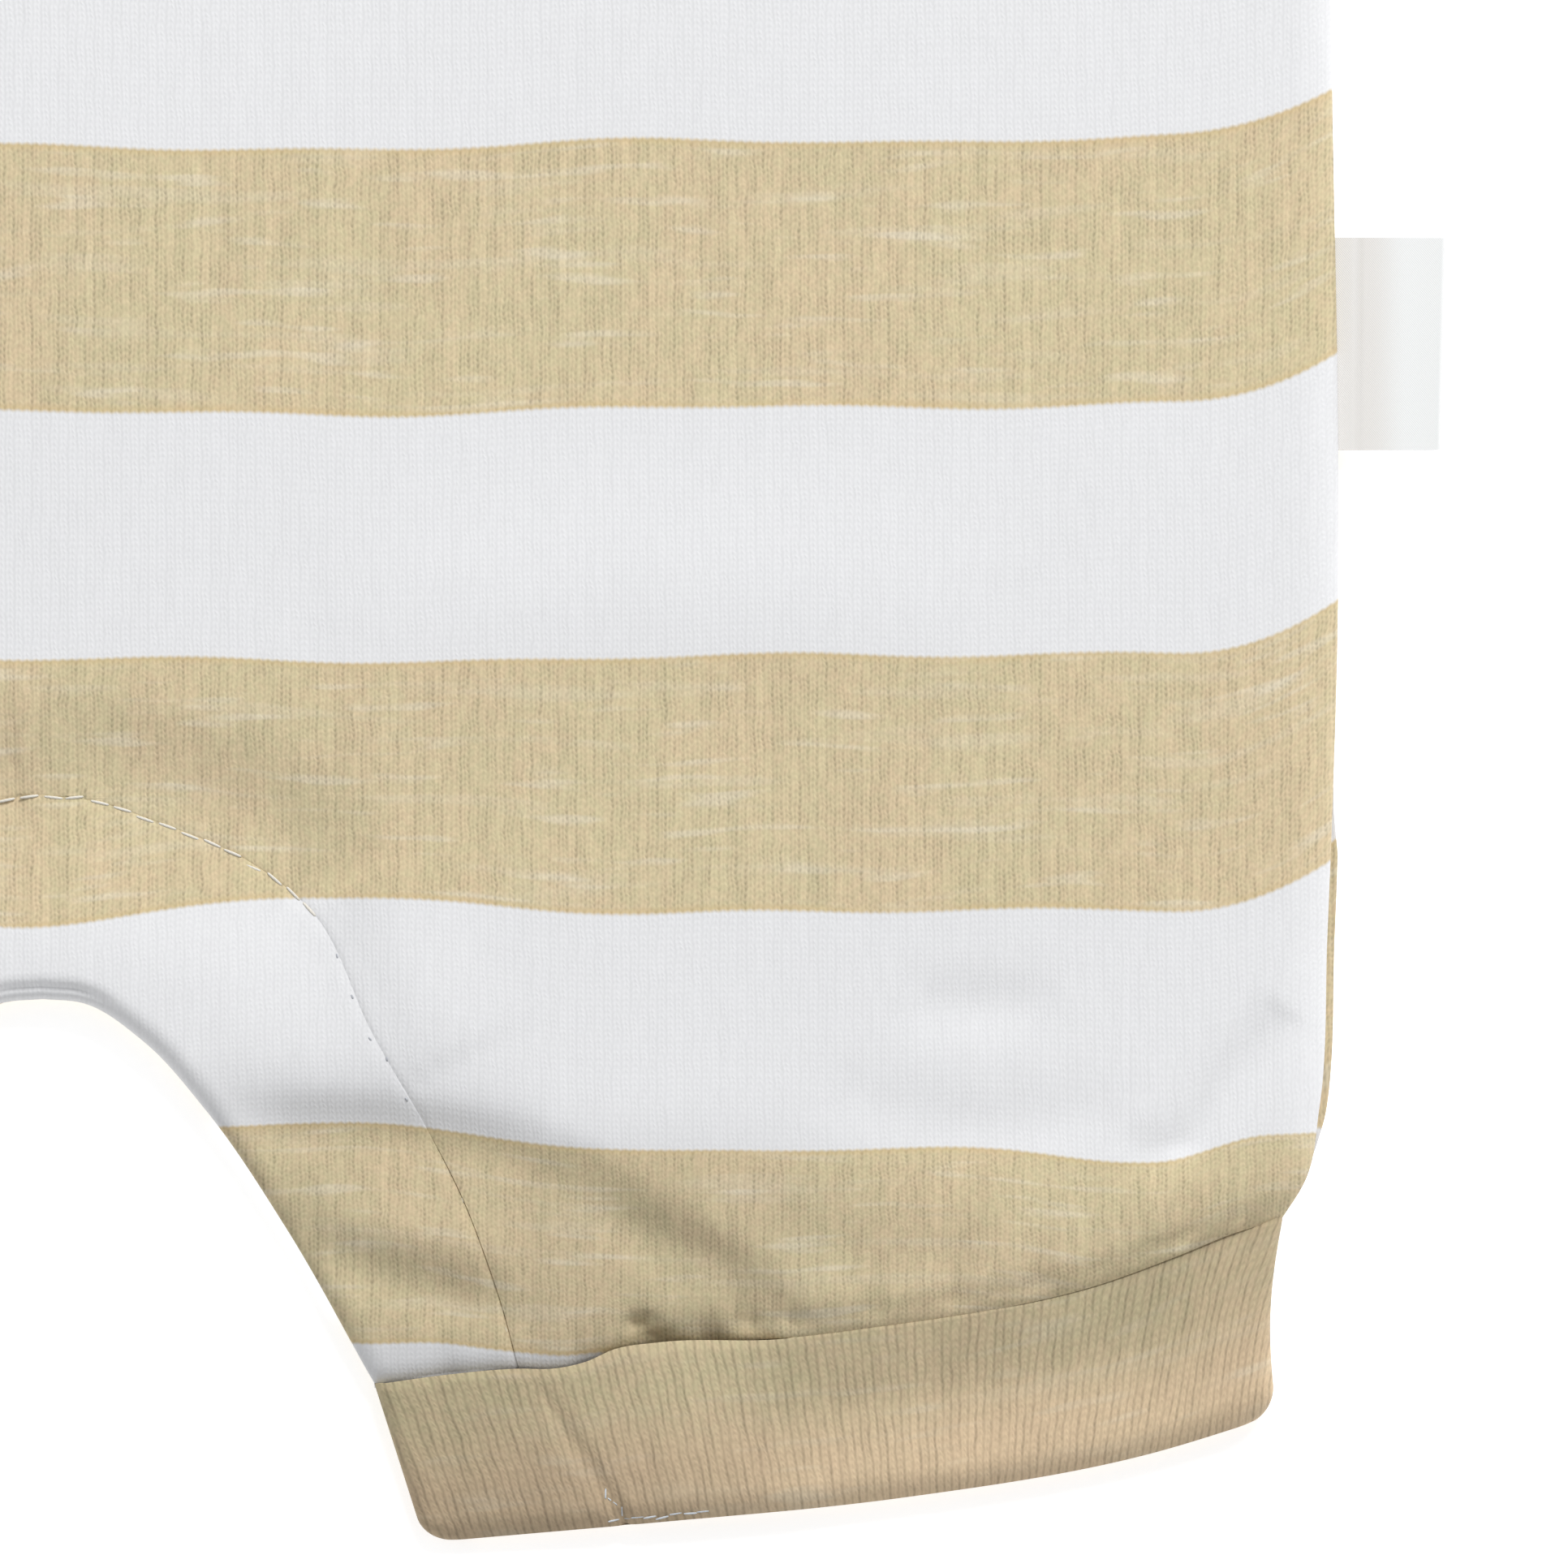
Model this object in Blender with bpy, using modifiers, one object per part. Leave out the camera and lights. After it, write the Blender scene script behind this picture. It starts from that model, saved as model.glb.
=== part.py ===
"""A baby's romper in striped slub jersey, laid flat on its back with its front up.

+Z is up and Z = 0 is the surface that the romper lies on. Its neck is toward +Y and its
wearer's left side toward +X. Sizes are in metres. The outlines are measured from the crotch,
on the centre line; the parent empty moves them so that the origin is the middle of the length.

Each panel is one sheet of cloth: a grid of points on its outer face, thickened inward by
Solidify. Sheets that are sewn together stay SEAM_GAP apart. The back lies on the surface, the
front lies on the back, and the back's shoulder laps fold over onto the front.
"""

import math
from typing import NamedTuple

import bmesh
import bpy
import numpy as np

# Thickness of the cloth
CLOTH = 0.0010
BINDING_CLOTH = 0.0014
CUFF_CLOTH = 0.0016  # folded double
SEAM_GAP = 0.0003
TUBE_GAP = 0.0004  # where a sleeve or a cuff is sewn to the body

# Heights of the outer face above the surface
LOFT = 0.0044  # the front panel, resting on the back one
RIM = 0.0021  # the front at the side and inner-leg seams
NECK_HEIGHT = 0.0027  # the front at its neckline and under the shoulder laps
FRONT_BINDING_HEIGHT = 0.0031
CUFF_HEIGHT = 0.0038
SLEEVE_HEIGHT = 0.0046
LAP_HEIGHT = 0.0048
EDGE_ROUND = 0.007  # how far in from a seamed edge the front reaches its loft
NECK_RAMP = 0.014
CUFF_PUFF = 0.0010  # fullness of the leg where it is gathered into the cuff
CUFF_PUFF_PLACE = 0.008

# Half outline of the legs, (x, y) from the crotch
CROTCH_EDGE = [(0, -0.0003), (0.004, -0.0007), (0.010, -0.0045), (0.016, -0.0111),
               (0.024, -0.0228), (0.0328, -0.0383)]
GUSSET_ARCH = [(0, 0.0199), (0.005, 0.0193), (0.012, 0.0170), (0.020, 0.0136), (0.0265, 0.0086),
               (0.0328, -0.0038), (0.0380, -0.0130), (0.0414, -0.0195), (0.0456, -0.0310),
               (0.0471, -0.0367)]
CUFF_SEAM = [(0.0328, -0.0383), (0.040, -0.0373), (0.0471, -0.0367), (0.0505, -0.0367),
             (0.0538, -0.0360), (0.0565, -0.0348), (0.0610, -0.0341), (0.0728, -0.0338),
             (0.0800, -0.0330), (0.0920, -0.0313), (0.1040, -0.0286), (0.1120, -0.0257),
             (0.1180, -0.0233), (0.1226, -0.0220)]
CUFF_FOLD = [(0.0378, -0.0541), (0.0608, -0.0520), (0.0848, -0.0496), (0.1088, -0.0454),
             (0.1220, -0.0414)]
CUFF_CORNER = 0.0015  # how far a cuff's folded edge is drawn in at each end

# Half width of the body at each height, (y, x)
SIDE = [(-0.0220, 0.1226), (-0.0190, 0.1248), (-0.0120, 0.1262), (0.0050, 0.1270),
        (0.0340, 0.1280), (0.0980, 0.1274), (0.2500, 0.1275)]

# Upper body
ARMPIT = (0.1275, 0.250)
SHOULDER_TIP = (0.112, 0.352)
NECK_POINT = (0.064, 0.365)
ARMHOLE_SQUARE = 0.038  # the armhole leaves the shoulder squarely, pulled in at this distance
FRONT_NECK_LOW = 0.311
BACK_NECK_LOW = 0.345
FRONT_SHOULDER_DROP = 0.003  # the front ends this far inside the fold of the lap
BINDING_WIDTH = 0.008
LAP_REACH = 0.52  # the lap ends at this fraction of the armhole, counted from the armpit
LAP_END_WIDTH = 0.003
LAP_BULGE = (0.074, 0.334)  # pulls the free edge of the lap down before it turns outward
NECK_STEPS, ARCH_STEPS = 9, 14  # along each neckline, the same on a panel and its binding

# Sleeve: its two lengthwise edges, from the armhole to the hem
SLEEVE_HEM_TOP = (0.1946, 0.3045)
SLEEVE_HEM_UNDER = (0.1467, 0.2356)
SLEEVE_HEM_BOW = 0.003

# Side label, a folded tape caught in the wearer's left side seam
LABEL_FROM = (0.1281, 0.0540)
LABEL_TO = (0.1384, 0.0750)
LABEL_THICKNESS = 0.0012
LABEL_HEIGHT = 0.0006  # the tape leaves the seam at this height above the surface

CENTRE_OF_LENGTH = 0.1582  # half way from the cuffs' folds to the top of the neck binding


class Fold(NamedTuple):
    """A soft trough (negative height) or ridge along a smooth route of (x, y) points."""

    height: float
    half_width: float
    route: list


FOLDS = [
    Fold(-0.0013, 0.0045, [(0.020, -0.004), (0.036, -0.0125), (0.050, -0.014), (0.066, -0.024),
                           (0.074, -0.033)]),
    Fold(-0.0008, 0.0035, [(0.0225, -0.019), (0.032, -0.0254), (0.0435, -0.027)]),
    Fold(0.0007, 0.0040, [(0.028, -0.019), (0.044, -0.021)]),
    Fold(0.0006, 0.0055, [(0.031, 0.012), (0.040, -0.0066)]),
    Fold(-0.0010, 0.0045, [(0.106, -0.019), (0.122, -0.005)]),
    Fold(-0.0009, 0.0060, [(0.120, 0.236), (0.098, 0.226), (0.072, 0.222)]),
    Fold(-0.0007, 0.0070, [(0.112, 0.262), (0.088, 0.276), (0.066, 0.282)]),
    Fold(0.0007, 0.0080, [(0.030, 0.296), (0.052, 0.310), (0.072, 0.322)]),
]


# ---------------------------------------------------------------- curves


def steps(start, end, count):
    """The ends of count equal steps."""
    return np.linspace(start, end, count + 1)


def through(points, t):
    """A smooth curve through the points, at fractions t of its length (cubic Hermite)."""
    points = np.asarray(points, float)
    t = np.atleast_1d(t)
    knots = np.concatenate(([0.0], np.cumsum(np.hypot(*np.diff(points, axis=0).T))))
    knots /= knots[-1]
    tangents = np.gradient(points, knots, axis=0)
    i = np.clip(np.searchsorted(knots, t, side="right") - 1, 0, len(knots) - 2)
    step = (knots[i + 1] - knots[i])[:, None]
    s = (t - knots[i])[:, None] / step
    return ((1 + 2 * s) * (1 - s) ** 2 * points[i] + s * (1 - s) ** 2 * step * tangents[i]
            + (3 - 2 * s) * s**2 * points[i + 1] + (s - 1) * s**2 * step * tangents[i + 1])


def between(start, end, t):
    t = np.atleast_1d(t)[:, None]
    return (1 - t) * np.asarray(start) + t * np.asarray(end)


def unit(vectors):
    return vectors / np.linalg.norm(vectors, axis=-1, keepdims=True)


def bowed(start, end, bow, t):
    """A line bent into a parabola whose middle is `bow` to the left of its direction."""
    along = unit(np.subtract(end, start))
    left = np.array([-along[1], along[0]])
    return between(start, end, t) + (4 * t * (1 - t) * bow)[:, None] * left


def bezier(start, control, end, t):
    """A quadratic Bezier curve: it leaves and arrives along the lines to its control point."""
    first, last = between(start, control, t), between(control, end, t)
    return first + np.atleast_1d(t)[:, None] * (last - first)


def beside(points, distance):
    """The curve moved by `distance` to the left of its direction."""
    along = unit(np.gradient(points, axis=0))
    return points + distance * np.stack([-along[:, 1], along[:, 0]], axis=1)


def joined(*stretches):
    """Stretches of one curve, each starting where the last one ended."""
    return np.concatenate([stretches[0]] + [stretch[1:] for stretch in stretches[1:]])


def side(y):
    table = np.array(SIDE)
    return np.stack([through(table, (y - table[0, 0]) / np.ptp(table[:, 0]))[:, 1], y], axis=1)


def centre(y):
    return np.stack([np.zeros_like(y), y], axis=1)


SHOULDER_ALONG = unit(np.subtract(SHOULDER_TIP, NECK_POINT))
SHOULDER_OUT = np.array([-SHOULDER_ALONG[1], SHOULDER_ALONG[0]])


def armhole(t):
    return bezier(ARMPIT, SHOULDER_TIP - ARMHOLE_SQUARE * SHOULDER_OUT, SHOULDER_TIP, t)


def front_neckline(t):
    """A quarter of an ellipse, from the centre up to just inside the fold of the lap."""
    top = np.array(NECK_POINT) - FRONT_SHOULDER_DROP * SHOULDER_OUT
    angle = t * math.pi / 2
    return np.stack([top[0] * np.sin(angle), top[1] - (top[1] - FRONT_NECK_LOW) * np.cos(angle)],
                    axis=1)


def back_neckline(t):
    """A parabola from the centre up to the neck point."""
    x, y = NECK_POINT
    return np.stack([x * t, BACK_NECK_LOW + (y - BACK_NECK_LOW) * t**2], axis=1)


def lap_edge(t):
    """The free edge of the lap where it lies on the front, from the neck point to the armhole."""
    end = armhole(LAP_REACH)[0] - (LAP_END_WIDTH, 0)
    return bezier(NECK_POINT, LAP_BULGE, end, t)


# ---------------------------------------------------------------- height of the front


def nearest(points, curve):
    """Distance of each point from a finely stepped curve, and where along it, 0 to 1."""
    flat = points.reshape(-1, 2)
    apart = np.linalg.norm(flat[:, None] - curve[None], axis=2)
    place = apart.argmin(axis=1)
    shape = points.shape[:-1]
    return apart.min(axis=1).reshape(shape), (place / (len(curve) - 1)).reshape(shape)


def smooth(t):
    t = np.clip(t, 0, 1)
    return t * t * (3 - 2 * t)


def fold_height(points):
    total = np.zeros(points.shape[:-1])
    for fold in FOLDS:
        apart, along = nearest(points, through(fold.route, steps(0, 1, 60)))
        total += fold.height * np.sqrt(np.sin(math.pi * along)) * np.exp(-(apart / fold.half_width) ** 2)
    return total


def front_height(points):
    """Height of the outer face of the front and the gusset at each (x, y)."""
    seamed_edge = np.concatenate([side(steps(SIDE[0][0], ARMPIT[1], 300)),
                                  through(CROTCH_EDGE, steps(0, 1, 60))])
    inward = np.clip(nearest(points, seamed_edge)[0] / EDGE_ROUND, 0, 1)
    rounded = np.sqrt(1 - (1 - inward) ** 2)
    from_cuff = nearest(points, through(CUFF_SEAM, steps(0, 1, 80)))[0] / CUFF_PUFF_PLACE
    puff = CUFF_PUFF * from_cuff * np.exp(1 - from_cuff)
    height = RIM + (LOFT - RIM + puff + fold_height(points)) * rounded

    from_neck = nearest(points, front_neckline(steps(0, 1, 80)))[0]
    lap = lap_edge(steps(0, 1, 80))
    below_lap = lap[0, 1] + 1 - points[..., 1]
    under = points[..., 0] >= lap[0, 0]
    below_lap[under] = np.interp(points[..., 0][under], lap[:, 0], lap[:, 1]) - points[..., 1][under]
    from_lap = 0.6 * below_lap - BINDING_WIDTH - 0.002
    lowered = np.minimum(smooth(from_neck / NECK_RAMP), smooth(from_lap / NECK_RAMP))
    return NECK_HEIGHT + (height - NECK_HEIGHT) * np.maximum(lowered, 0)


# ---------------------------------------------------------------- sheets of cloth


def patch(left, right, bottom, columns):
    """A Coons patch: rows between two edges, whose first row follows the bottom curve.

    The top row is straight. left and right have one point a row, columns are fractions
    across, and bottom has one point a column.
    """
    up = steps(0, 1, len(left) - 1)[:, None, None]
    across = columns[None, :, None]
    ruled = (1 - across) * left[:, None] + across * right[:, None]
    return ruled + (1 - up) * (bottom[None] - ruled[0][None])


def with_height(points, height):
    height = np.broadcast_to(height, points.shape[:-1])
    return np.concatenate([points, height[..., None]], axis=-1)


def quads(rows, columns, closed):
    """Indices of a grid's faces; a closed grid joins its last column to its first."""
    index = np.arange(rows * columns).reshape(rows, columns)
    after = np.roll(index, -1, axis=1) if closed else index[:, 1:]
    here = index if closed else index[:, :-1]
    faces = np.stack([here[:-1], after[:-1], after[1:], here[1:]], axis=-1)
    return faces.reshape(-1, 4)


def sheet(name, points, wall, material, mirrored=False, closed=False, flipped=False):
    """One piece of the garment from the grid of its outer face."""
    faces = quads(points.shape[0], points.shape[1], closed)
    if flipped:
        faces = faces[:, ::-1]
    mesh = bpy.data.meshes.new(name)
    mesh.from_pydata(points.reshape(-1, 3).tolist(), [], faces.tolist())
    mesh.materials.append(material)
    piece = bpy.data.objects.new(name, mesh)
    piece.parent = romper
    collection.objects.link(piece)
    if mirrored:
        mirror = piece.modifiers.new("Other half", "MIRROR")
        mirror.merge_threshold = 0.00005
    thicken = piece.modifiers.new("Thickness", "SOLIDIFY")
    thicken.thickness = wall
    thicken.offset = -1
    mesh.shade_smooth()
    mesh.set_sharp_from_angle(angle=math.radians(50))
    return piece


def flat_tube(first, last, height, stations, corner, width_steps):
    """Rings of points round a flattened tube, from its first section to its last.

    first and last give a section's middle line from one fold (0) to the other (1). Each ring
    is a stadium of the given height, and the last one is `corner` narrower at each fold.
    """
    radius = height / 2
    turn = np.radians(steps(-90, 90, 6))
    rise = radius * (1 + np.sin(turn))
    ends = np.array([0.0, 1.0])
    folds = unit(last(ends) - first(ends))
    rings = []
    for station in stations:
        chord = np.diff((1 - station) * first(ends) + station * last(ends), axis=0)[0]
        width = np.linalg.norm(chord)
        squareness = np.abs(folds[:, 0] * chord[1] - folds[:, 1] * chord[0]) / width
        near, far = radius / squareness
        top = steps(near, width - far, width_steps)[1:-1]
        across = np.concatenate([width - far * (1 - np.cos(turn)), top[::-1],
                                 near * (1 - np.cos(turn[::-1])), top]) / width
        level = np.concatenate([rise, np.full(len(top), height), rise[::-1], np.zeros(len(top))])
        if station == 1:  # the last ring is the narrower one
            across = 0.5 + (across - 0.5) * (1 - 2 * corner / width)
        rings.append(with_height((1 - station) * first(across) + station * last(across), level))
    return np.array(rings)


# ---------------------------------------------------------------- the pieces


def front_panel():
    arch = through(GUSSET_ARCH, steps(1, 0, ARCH_STEPS))
    left = joined(arch, centre(steps(GUSSET_ARCH[0][1], ARMPIT[1], 7)),
                  centre(steps(ARMPIT[1], FRONT_NECK_LOW, 4)),
                  front_neckline(steps(0, 1, NECK_STEPS)))
    right = joined(side(steps(SIDE[0][0], 0.022, ARCH_STEPS)), side(steps(0.022, ARMPIT[1], 7)),
                   armhole(steps(0, 0.4, 4)), armhole(steps(0.4, 0.97, NECK_STEPS)))
    columns = np.concatenate([steps(0, 0.93, 13), [0.962, 0.984, 0.995, 1.0]])
    seam = through(CUFF_SEAM, steps(0, 1, 400))
    seam = seam[seam[:, 0] >= GUSSET_ARCH[-1][0]]
    bottom = between(left[0], right[0], columns)
    bottom[:, 1] = np.interp(bottom[:, 0], seam[:, 0], seam[:, 1])
    bottom[[0, -1]] = left[0], right[0]
    points = patch(left, right, bottom, columns)
    sheet("front_panel", with_height(points, front_height(points)), CLOTH, striped, mirrored=True)


def crotch_gusset():
    inner = through(CROTCH_EDGE, steps(0, 1, ARCH_STEPS))
    outer = beside(through(GUSSET_ARCH, steps(0, 1, ARCH_STEPS)), -SEAM_GAP)
    outer[0, 0] = 0
    across = np.array([0, 0.06, 0.16, 0.32, 0.54, 0.78, 1.0])[None, :, None]
    points = (1 - across) * inner[:, None] + across * outer[:, None]
    sheet("crotch_gusset", with_height(points, front_height(points)), CLOTH, striped,
          mirrored=True, flipped=True)


def shoulder_fold(row, radius, turns=6):
    """Copies of a row carried round the half circle of the shoulder's fold."""
    angles = steps(0, math.pi, turns)[:, None, None]
    points = row[None] + radius * np.sin(angles) * SHOULDER_OUT
    return with_height(points, radius * (1 - np.cos(angles[..., 0])))


def back_panel():
    columns = steps(0, 1, 14)
    left = joined(through(CROTCH_EDGE, steps(1, 0, 12)), centre(steps(CROTCH_EDGE[0][1], ARMPIT[1], 4)),
                  centre(steps(ARMPIT[1], BACK_NECK_LOW, 4)), back_neckline(steps(0, 1, NECK_STEPS)))
    right = joined(side(steps(SIDE[0][0], 0.010, 12)), side(steps(0.010, ARMPIT[1], 4)),
                   armhole(steps(0, 0.4, 4)), armhole(steps(0.4, 1, NECK_STEPS)))
    bottom = through(CUFF_SEAM, columns)
    lying = with_height(patch(left, right, bottom, columns), 0)
    turned = shoulder_fold(lying[-1, :, :2], LAP_HEIGHT / 2)
    lap_left = lap_edge(steps(0, 1, NECK_STEPS))
    lap_right = armhole(steps(1, LAP_REACH, NECK_STEPS))
    lap = with_height(patch(lap_left, lap_right, turned[-1, :, :2], columns), LAP_HEIGHT)
    points = np.concatenate([lying, turned[1:], lap[1:]])
    sheet("back_panel", points, CLOTH, striped, mirrored=True, flipped=True)


def band(edge, toward, width_steps=2):
    """Rows across a binding that lies beside an edge, each leading off in its `toward`."""
    along = unit(np.gradient(edge, axis=0))
    toward = unit(toward)
    slant = np.abs(along[:, 0] * toward[:, 1] - along[:, 1] * toward[:, 0])
    reach = steps(SEAM_GAP, BINDING_WIDTH, width_steps)
    return edge[:, None] + (reach[None, :, None] / slant[:, None, None]) * toward[:, None]


def neck_binding_front():
    t = steps(0, 1, NECK_STEPS)
    points = band(front_neckline(t), between((0, 1), -SHOULDER_ALONG, t))
    points[0, :, 0] = 0
    sheet("neck_binding_front", with_height(points, FRONT_BINDING_HEIGHT), BINDING_CLOTH, khaki,
          mirrored=True, flipped=True)


def neck_binding_back():
    t = steps(0, 1, NECK_STEPS)
    lying = band(back_neckline(t), between((0, 1), -SHOULDER_ALONG, t))
    lying[0, :, 0] = 0
    turned = shoulder_fold(lying[-1], LAP_HEIGHT / 2)
    downward = unit(armhole(LAP_REACH - 0.05) - armhole(LAP_REACH))[0]
    lap = band(lap_edge(t), between(-SHOULDER_ALONG, downward, t))
    lap[0] = lying[-1]
    points = np.concatenate([with_height(lying, 0), turned[1:], with_height(lap, LAP_HEIGHT)[1:]])
    sheet("neck_binding_back", points, BINDING_CLOTH, khaki, mirrored=True)


def leg_cuff(name, hand):
    def seam(t):
        return through(CUFF_SEAM, t) - (0, TUBE_GAP)

    def fold(t):
        return through(CUFF_FOLD, t)

    rings = flat_tube(seam, fold, CUFF_HEIGHT, (0, 0.3, 0.6, 0.85, 1), CUFF_CORNER, 14)
    sheet(name, rings * (hand, 1, 1), CUFF_CLOTH, khaki, closed=True, flipped=hand < 0)


def sleeve(name, hand):
    fold_reach = SLEEVE_HEIGHT / 2 / np.linalg.norm(np.subtract(SHOULDER_TIP, ARMPIT))

    def seam(t):
        return armhole(t * (1 + fold_reach)) + (TUBE_GAP, 0)

    def hem(t):
        return bowed(SLEEVE_HEM_UNDER, SLEEVE_HEM_TOP, -SLEEVE_HEM_BOW, t)

    rings = flat_tube(seam, hem, SLEEVE_HEIGHT, steps(0, 1, 5), 0, 10)
    sheet(name, rings * (hand, 1, 1), CLOTH, striped, closed=True, flipped=hand < 0)


def side_label():
    size = np.subtract(LABEL_TO, LABEL_FROM)
    middle = np.add(LABEL_TO, LABEL_FROM) / 2
    box = bmesh.new()
    bmesh.ops.create_cube(box, size=1)
    bmesh.ops.scale(box, vec=(size[0], size[1], LABEL_THICKNESS), verts=box.verts)
    mesh = bpy.data.meshes.new("side_label")
    box.to_mesh(mesh)
    box.free()
    mesh.materials.append(tape)
    label = bpy.data.objects.new("side_label", mesh)
    label.location = (middle[0], middle[1], LABEL_HEIGHT + LABEL_THICKNESS / 2)
    label.parent = romper
    bevel = label.modifiers.new("Rounded fold", "BEVEL")
    bevel.width = LABEL_THICKNESS * 0.3
    bevel.segments = 2
    collection.objects.link(label)


# ---------------------------------------------------------------- materials and assembly


def linear(colour):
    """An sRGB colour of 0 to 255 as Blender's linear one."""
    part = np.array(colour) / 255
    return (*np.where(part <= 0.04045, part / 12.92, ((part + 0.055) / 1.055) ** 2.4), 1)


def cloth_material(name, colour, roughness):
    material = bpy.data.materials.new(name)
    material.use_nodes = True
    shader = material.node_tree.nodes["Principled BSDF"]
    shader.inputs["Base Color"].default_value = linear(colour)
    shader.inputs["Roughness"].default_value = roughness
    shader.inputs["Metallic"].default_value = 0
    return material


for leftover in list(bpy.data.objects):
    bpy.data.objects.remove(leftover)

collection = bpy.data.collections.new("baby_romper")
bpy.context.scene.collection.children.link(collection)
romper = bpy.data.objects.new("romper", None)
romper.location.y = -CENTRE_OF_LENGTH
collection.objects.link(romper)

striped = cloth_material("striped_jersey", (220, 212, 196), 0.9)
khaki = cloth_material("khaki_jersey", (198, 179, 147), 0.9)
tape = cloth_material("label_tape", (230, 227, 221), 0.7)

front_panel()
crotch_gusset()
back_panel()
neck_binding_front()
neck_binding_back()
for wearer_side, hand in (("left", 1), ("right", -1)):
    leg_cuff(f"leg_cuff_{wearer_side}", hand)
    sleeve(f"sleeve_{wearer_side}", hand)
side_label()
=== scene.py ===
# %% [markdown]
# # A baby's romper, laid flat
# The real garment is a few flat pieces of striped slub jersey, overlocked together and laid on
# a table. It could be made by a cloth simulation, but a garment that a hand has smoothed flat
# is a calm relief with a few known folds, so here each piece is a surface worked out with
# numpy from the romper's own sizes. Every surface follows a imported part, the frame.

# %% Load the frame
import math
from typing import NamedTuple

import bmesh
import bpy
import numpy as np
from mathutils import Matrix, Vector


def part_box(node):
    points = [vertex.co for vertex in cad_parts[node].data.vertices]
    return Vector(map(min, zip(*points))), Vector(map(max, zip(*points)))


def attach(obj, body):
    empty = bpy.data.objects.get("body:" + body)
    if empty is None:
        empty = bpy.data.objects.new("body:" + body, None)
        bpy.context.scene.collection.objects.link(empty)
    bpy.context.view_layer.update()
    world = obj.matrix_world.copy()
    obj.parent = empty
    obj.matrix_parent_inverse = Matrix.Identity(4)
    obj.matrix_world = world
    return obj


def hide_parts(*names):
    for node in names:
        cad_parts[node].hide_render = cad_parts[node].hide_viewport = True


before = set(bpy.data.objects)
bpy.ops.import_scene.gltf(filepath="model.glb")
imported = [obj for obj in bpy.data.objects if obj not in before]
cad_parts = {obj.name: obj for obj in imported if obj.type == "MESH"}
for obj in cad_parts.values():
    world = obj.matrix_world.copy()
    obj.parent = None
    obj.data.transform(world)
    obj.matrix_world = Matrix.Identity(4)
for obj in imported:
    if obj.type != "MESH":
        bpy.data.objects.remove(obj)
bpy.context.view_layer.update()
print("pieces of the frame:", sorted(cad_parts))

# %% [markdown]
# ## Sizes
# A pattern cutter measures from fixed points. Here they are the crotch, on the centre line,
# and the surface under the garment. All lengths are in metres. The side label's node tells
# where the crotch lies in the frame.

# %% Driving sizes
LABEL_FROM, LABEL_TO = (0.1281, 0.0540), (0.1384, 0.0750)
crotch_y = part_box("side_label")[0][1] - LABEL_FROM[1]
print("the crotch is at y =", round(crotch_y, 4))

CLOTH = 0.0009
CUFF_WALL = 0.0007
BINDING_CLOTH = 0.0013
LOFT = 0.0044
RIM = 0.0021
LEAST_HEIGHT = 0.0019
NECK_HEIGHT = 0.0027
FRONT_BINDING_HEIGHT = 0.0031
CUFF_HEIGHT = 0.0038
SLEEVE_HEIGHT = 0.0046
LAP_HEIGHT = 0.0048
EDGE_ROUND, CROTCH_ROUND = 0.0045, 0.0023
CREASE_PLACE, CREASE_WIDTH, CREASE_DEPTH = 0.0013, 0.0004, 0.0005
NECK_RAMP = 0.014
CUFF_PUFF, CUFF_PUFF_PLACE = 0.0010, 0.008

CROTCH_EDGE = [(0, -0.0003), (0.004, -0.0007), (0.010, -0.0045), (0.016, -0.0111),
               (0.024, -0.0228), (0.0328, -0.0383)]
GUSSET_ARCH = [(0, 0.0199), (0.005, 0.0193), (0.012, 0.0170), (0.020, 0.0136), (0.0265, 0.0086),
               (0.0328, -0.0038), (0.0380, -0.0130), (0.0414, -0.0195), (0.0456, -0.0310),
               (0.0471, -0.0367)]
CUFF_SEAM = [(0.0328, -0.0383), (0.040, -0.0373), (0.0471, -0.0367), (0.0505, -0.0367),
             (0.0538, -0.0360), (0.0565, -0.0348), (0.0610, -0.0341), (0.0728, -0.0338),
             (0.0800, -0.0330), (0.0920, -0.0313), (0.1040, -0.0286), (0.1120, -0.0257),
             (0.1180, -0.0233), (0.1226, -0.0220)]
CUFF_FOLD = [(0.0378, -0.0541), (0.0608, -0.0520), (0.0848, -0.0496), (0.1088, -0.0454),
             (0.1220, -0.0414)]
CUFF_CORNER = 0.0028
SIDE = [(-0.0220, 0.1226), (-0.0190, 0.1248), (-0.0120, 0.1262), (0.0050, 0.1270),
        (0.0340, 0.1280), (0.0980, 0.1274), (0.2500, 0.1275)]

ARMPIT = (0.1275, 0.250)
SHOULDER_TIP = (0.112, 0.352)
NECK_POINT = (0.064, 0.365)
ARMHOLE_SQUARE = 0.038
FRONT_NECK_LOW, BACK_NECK_LOW = 0.311, 0.345
FRONT_SHOULDER_DROP = 0.003
BINDING_WIDTH = 0.008
LAP_REACH, LAP_END_WIDTH = 0.52, 0.003
LAP_BULGE = (0.074, 0.334)
SLEEVE_HEM_TOP, SLEEVE_HEM_UNDER = (0.1946, 0.3045), (0.1467, 0.2356)
SLEEVE_HEM_BOW = 0.003
HEM_DEPTH = 0.015

# %% [markdown]
# ## Camera
# The garment is seen square from above, close enough that one leg and its side fill the view.
# A long lens from nearly a metre keeps the flat cloth free of perspective.

# %% Camera over the left leg
def add_object(name, data):
    thing = bpy.data.objects.new(name, data)
    bpy.context.scene.collection.objects.link(thing)
    return thing


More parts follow.
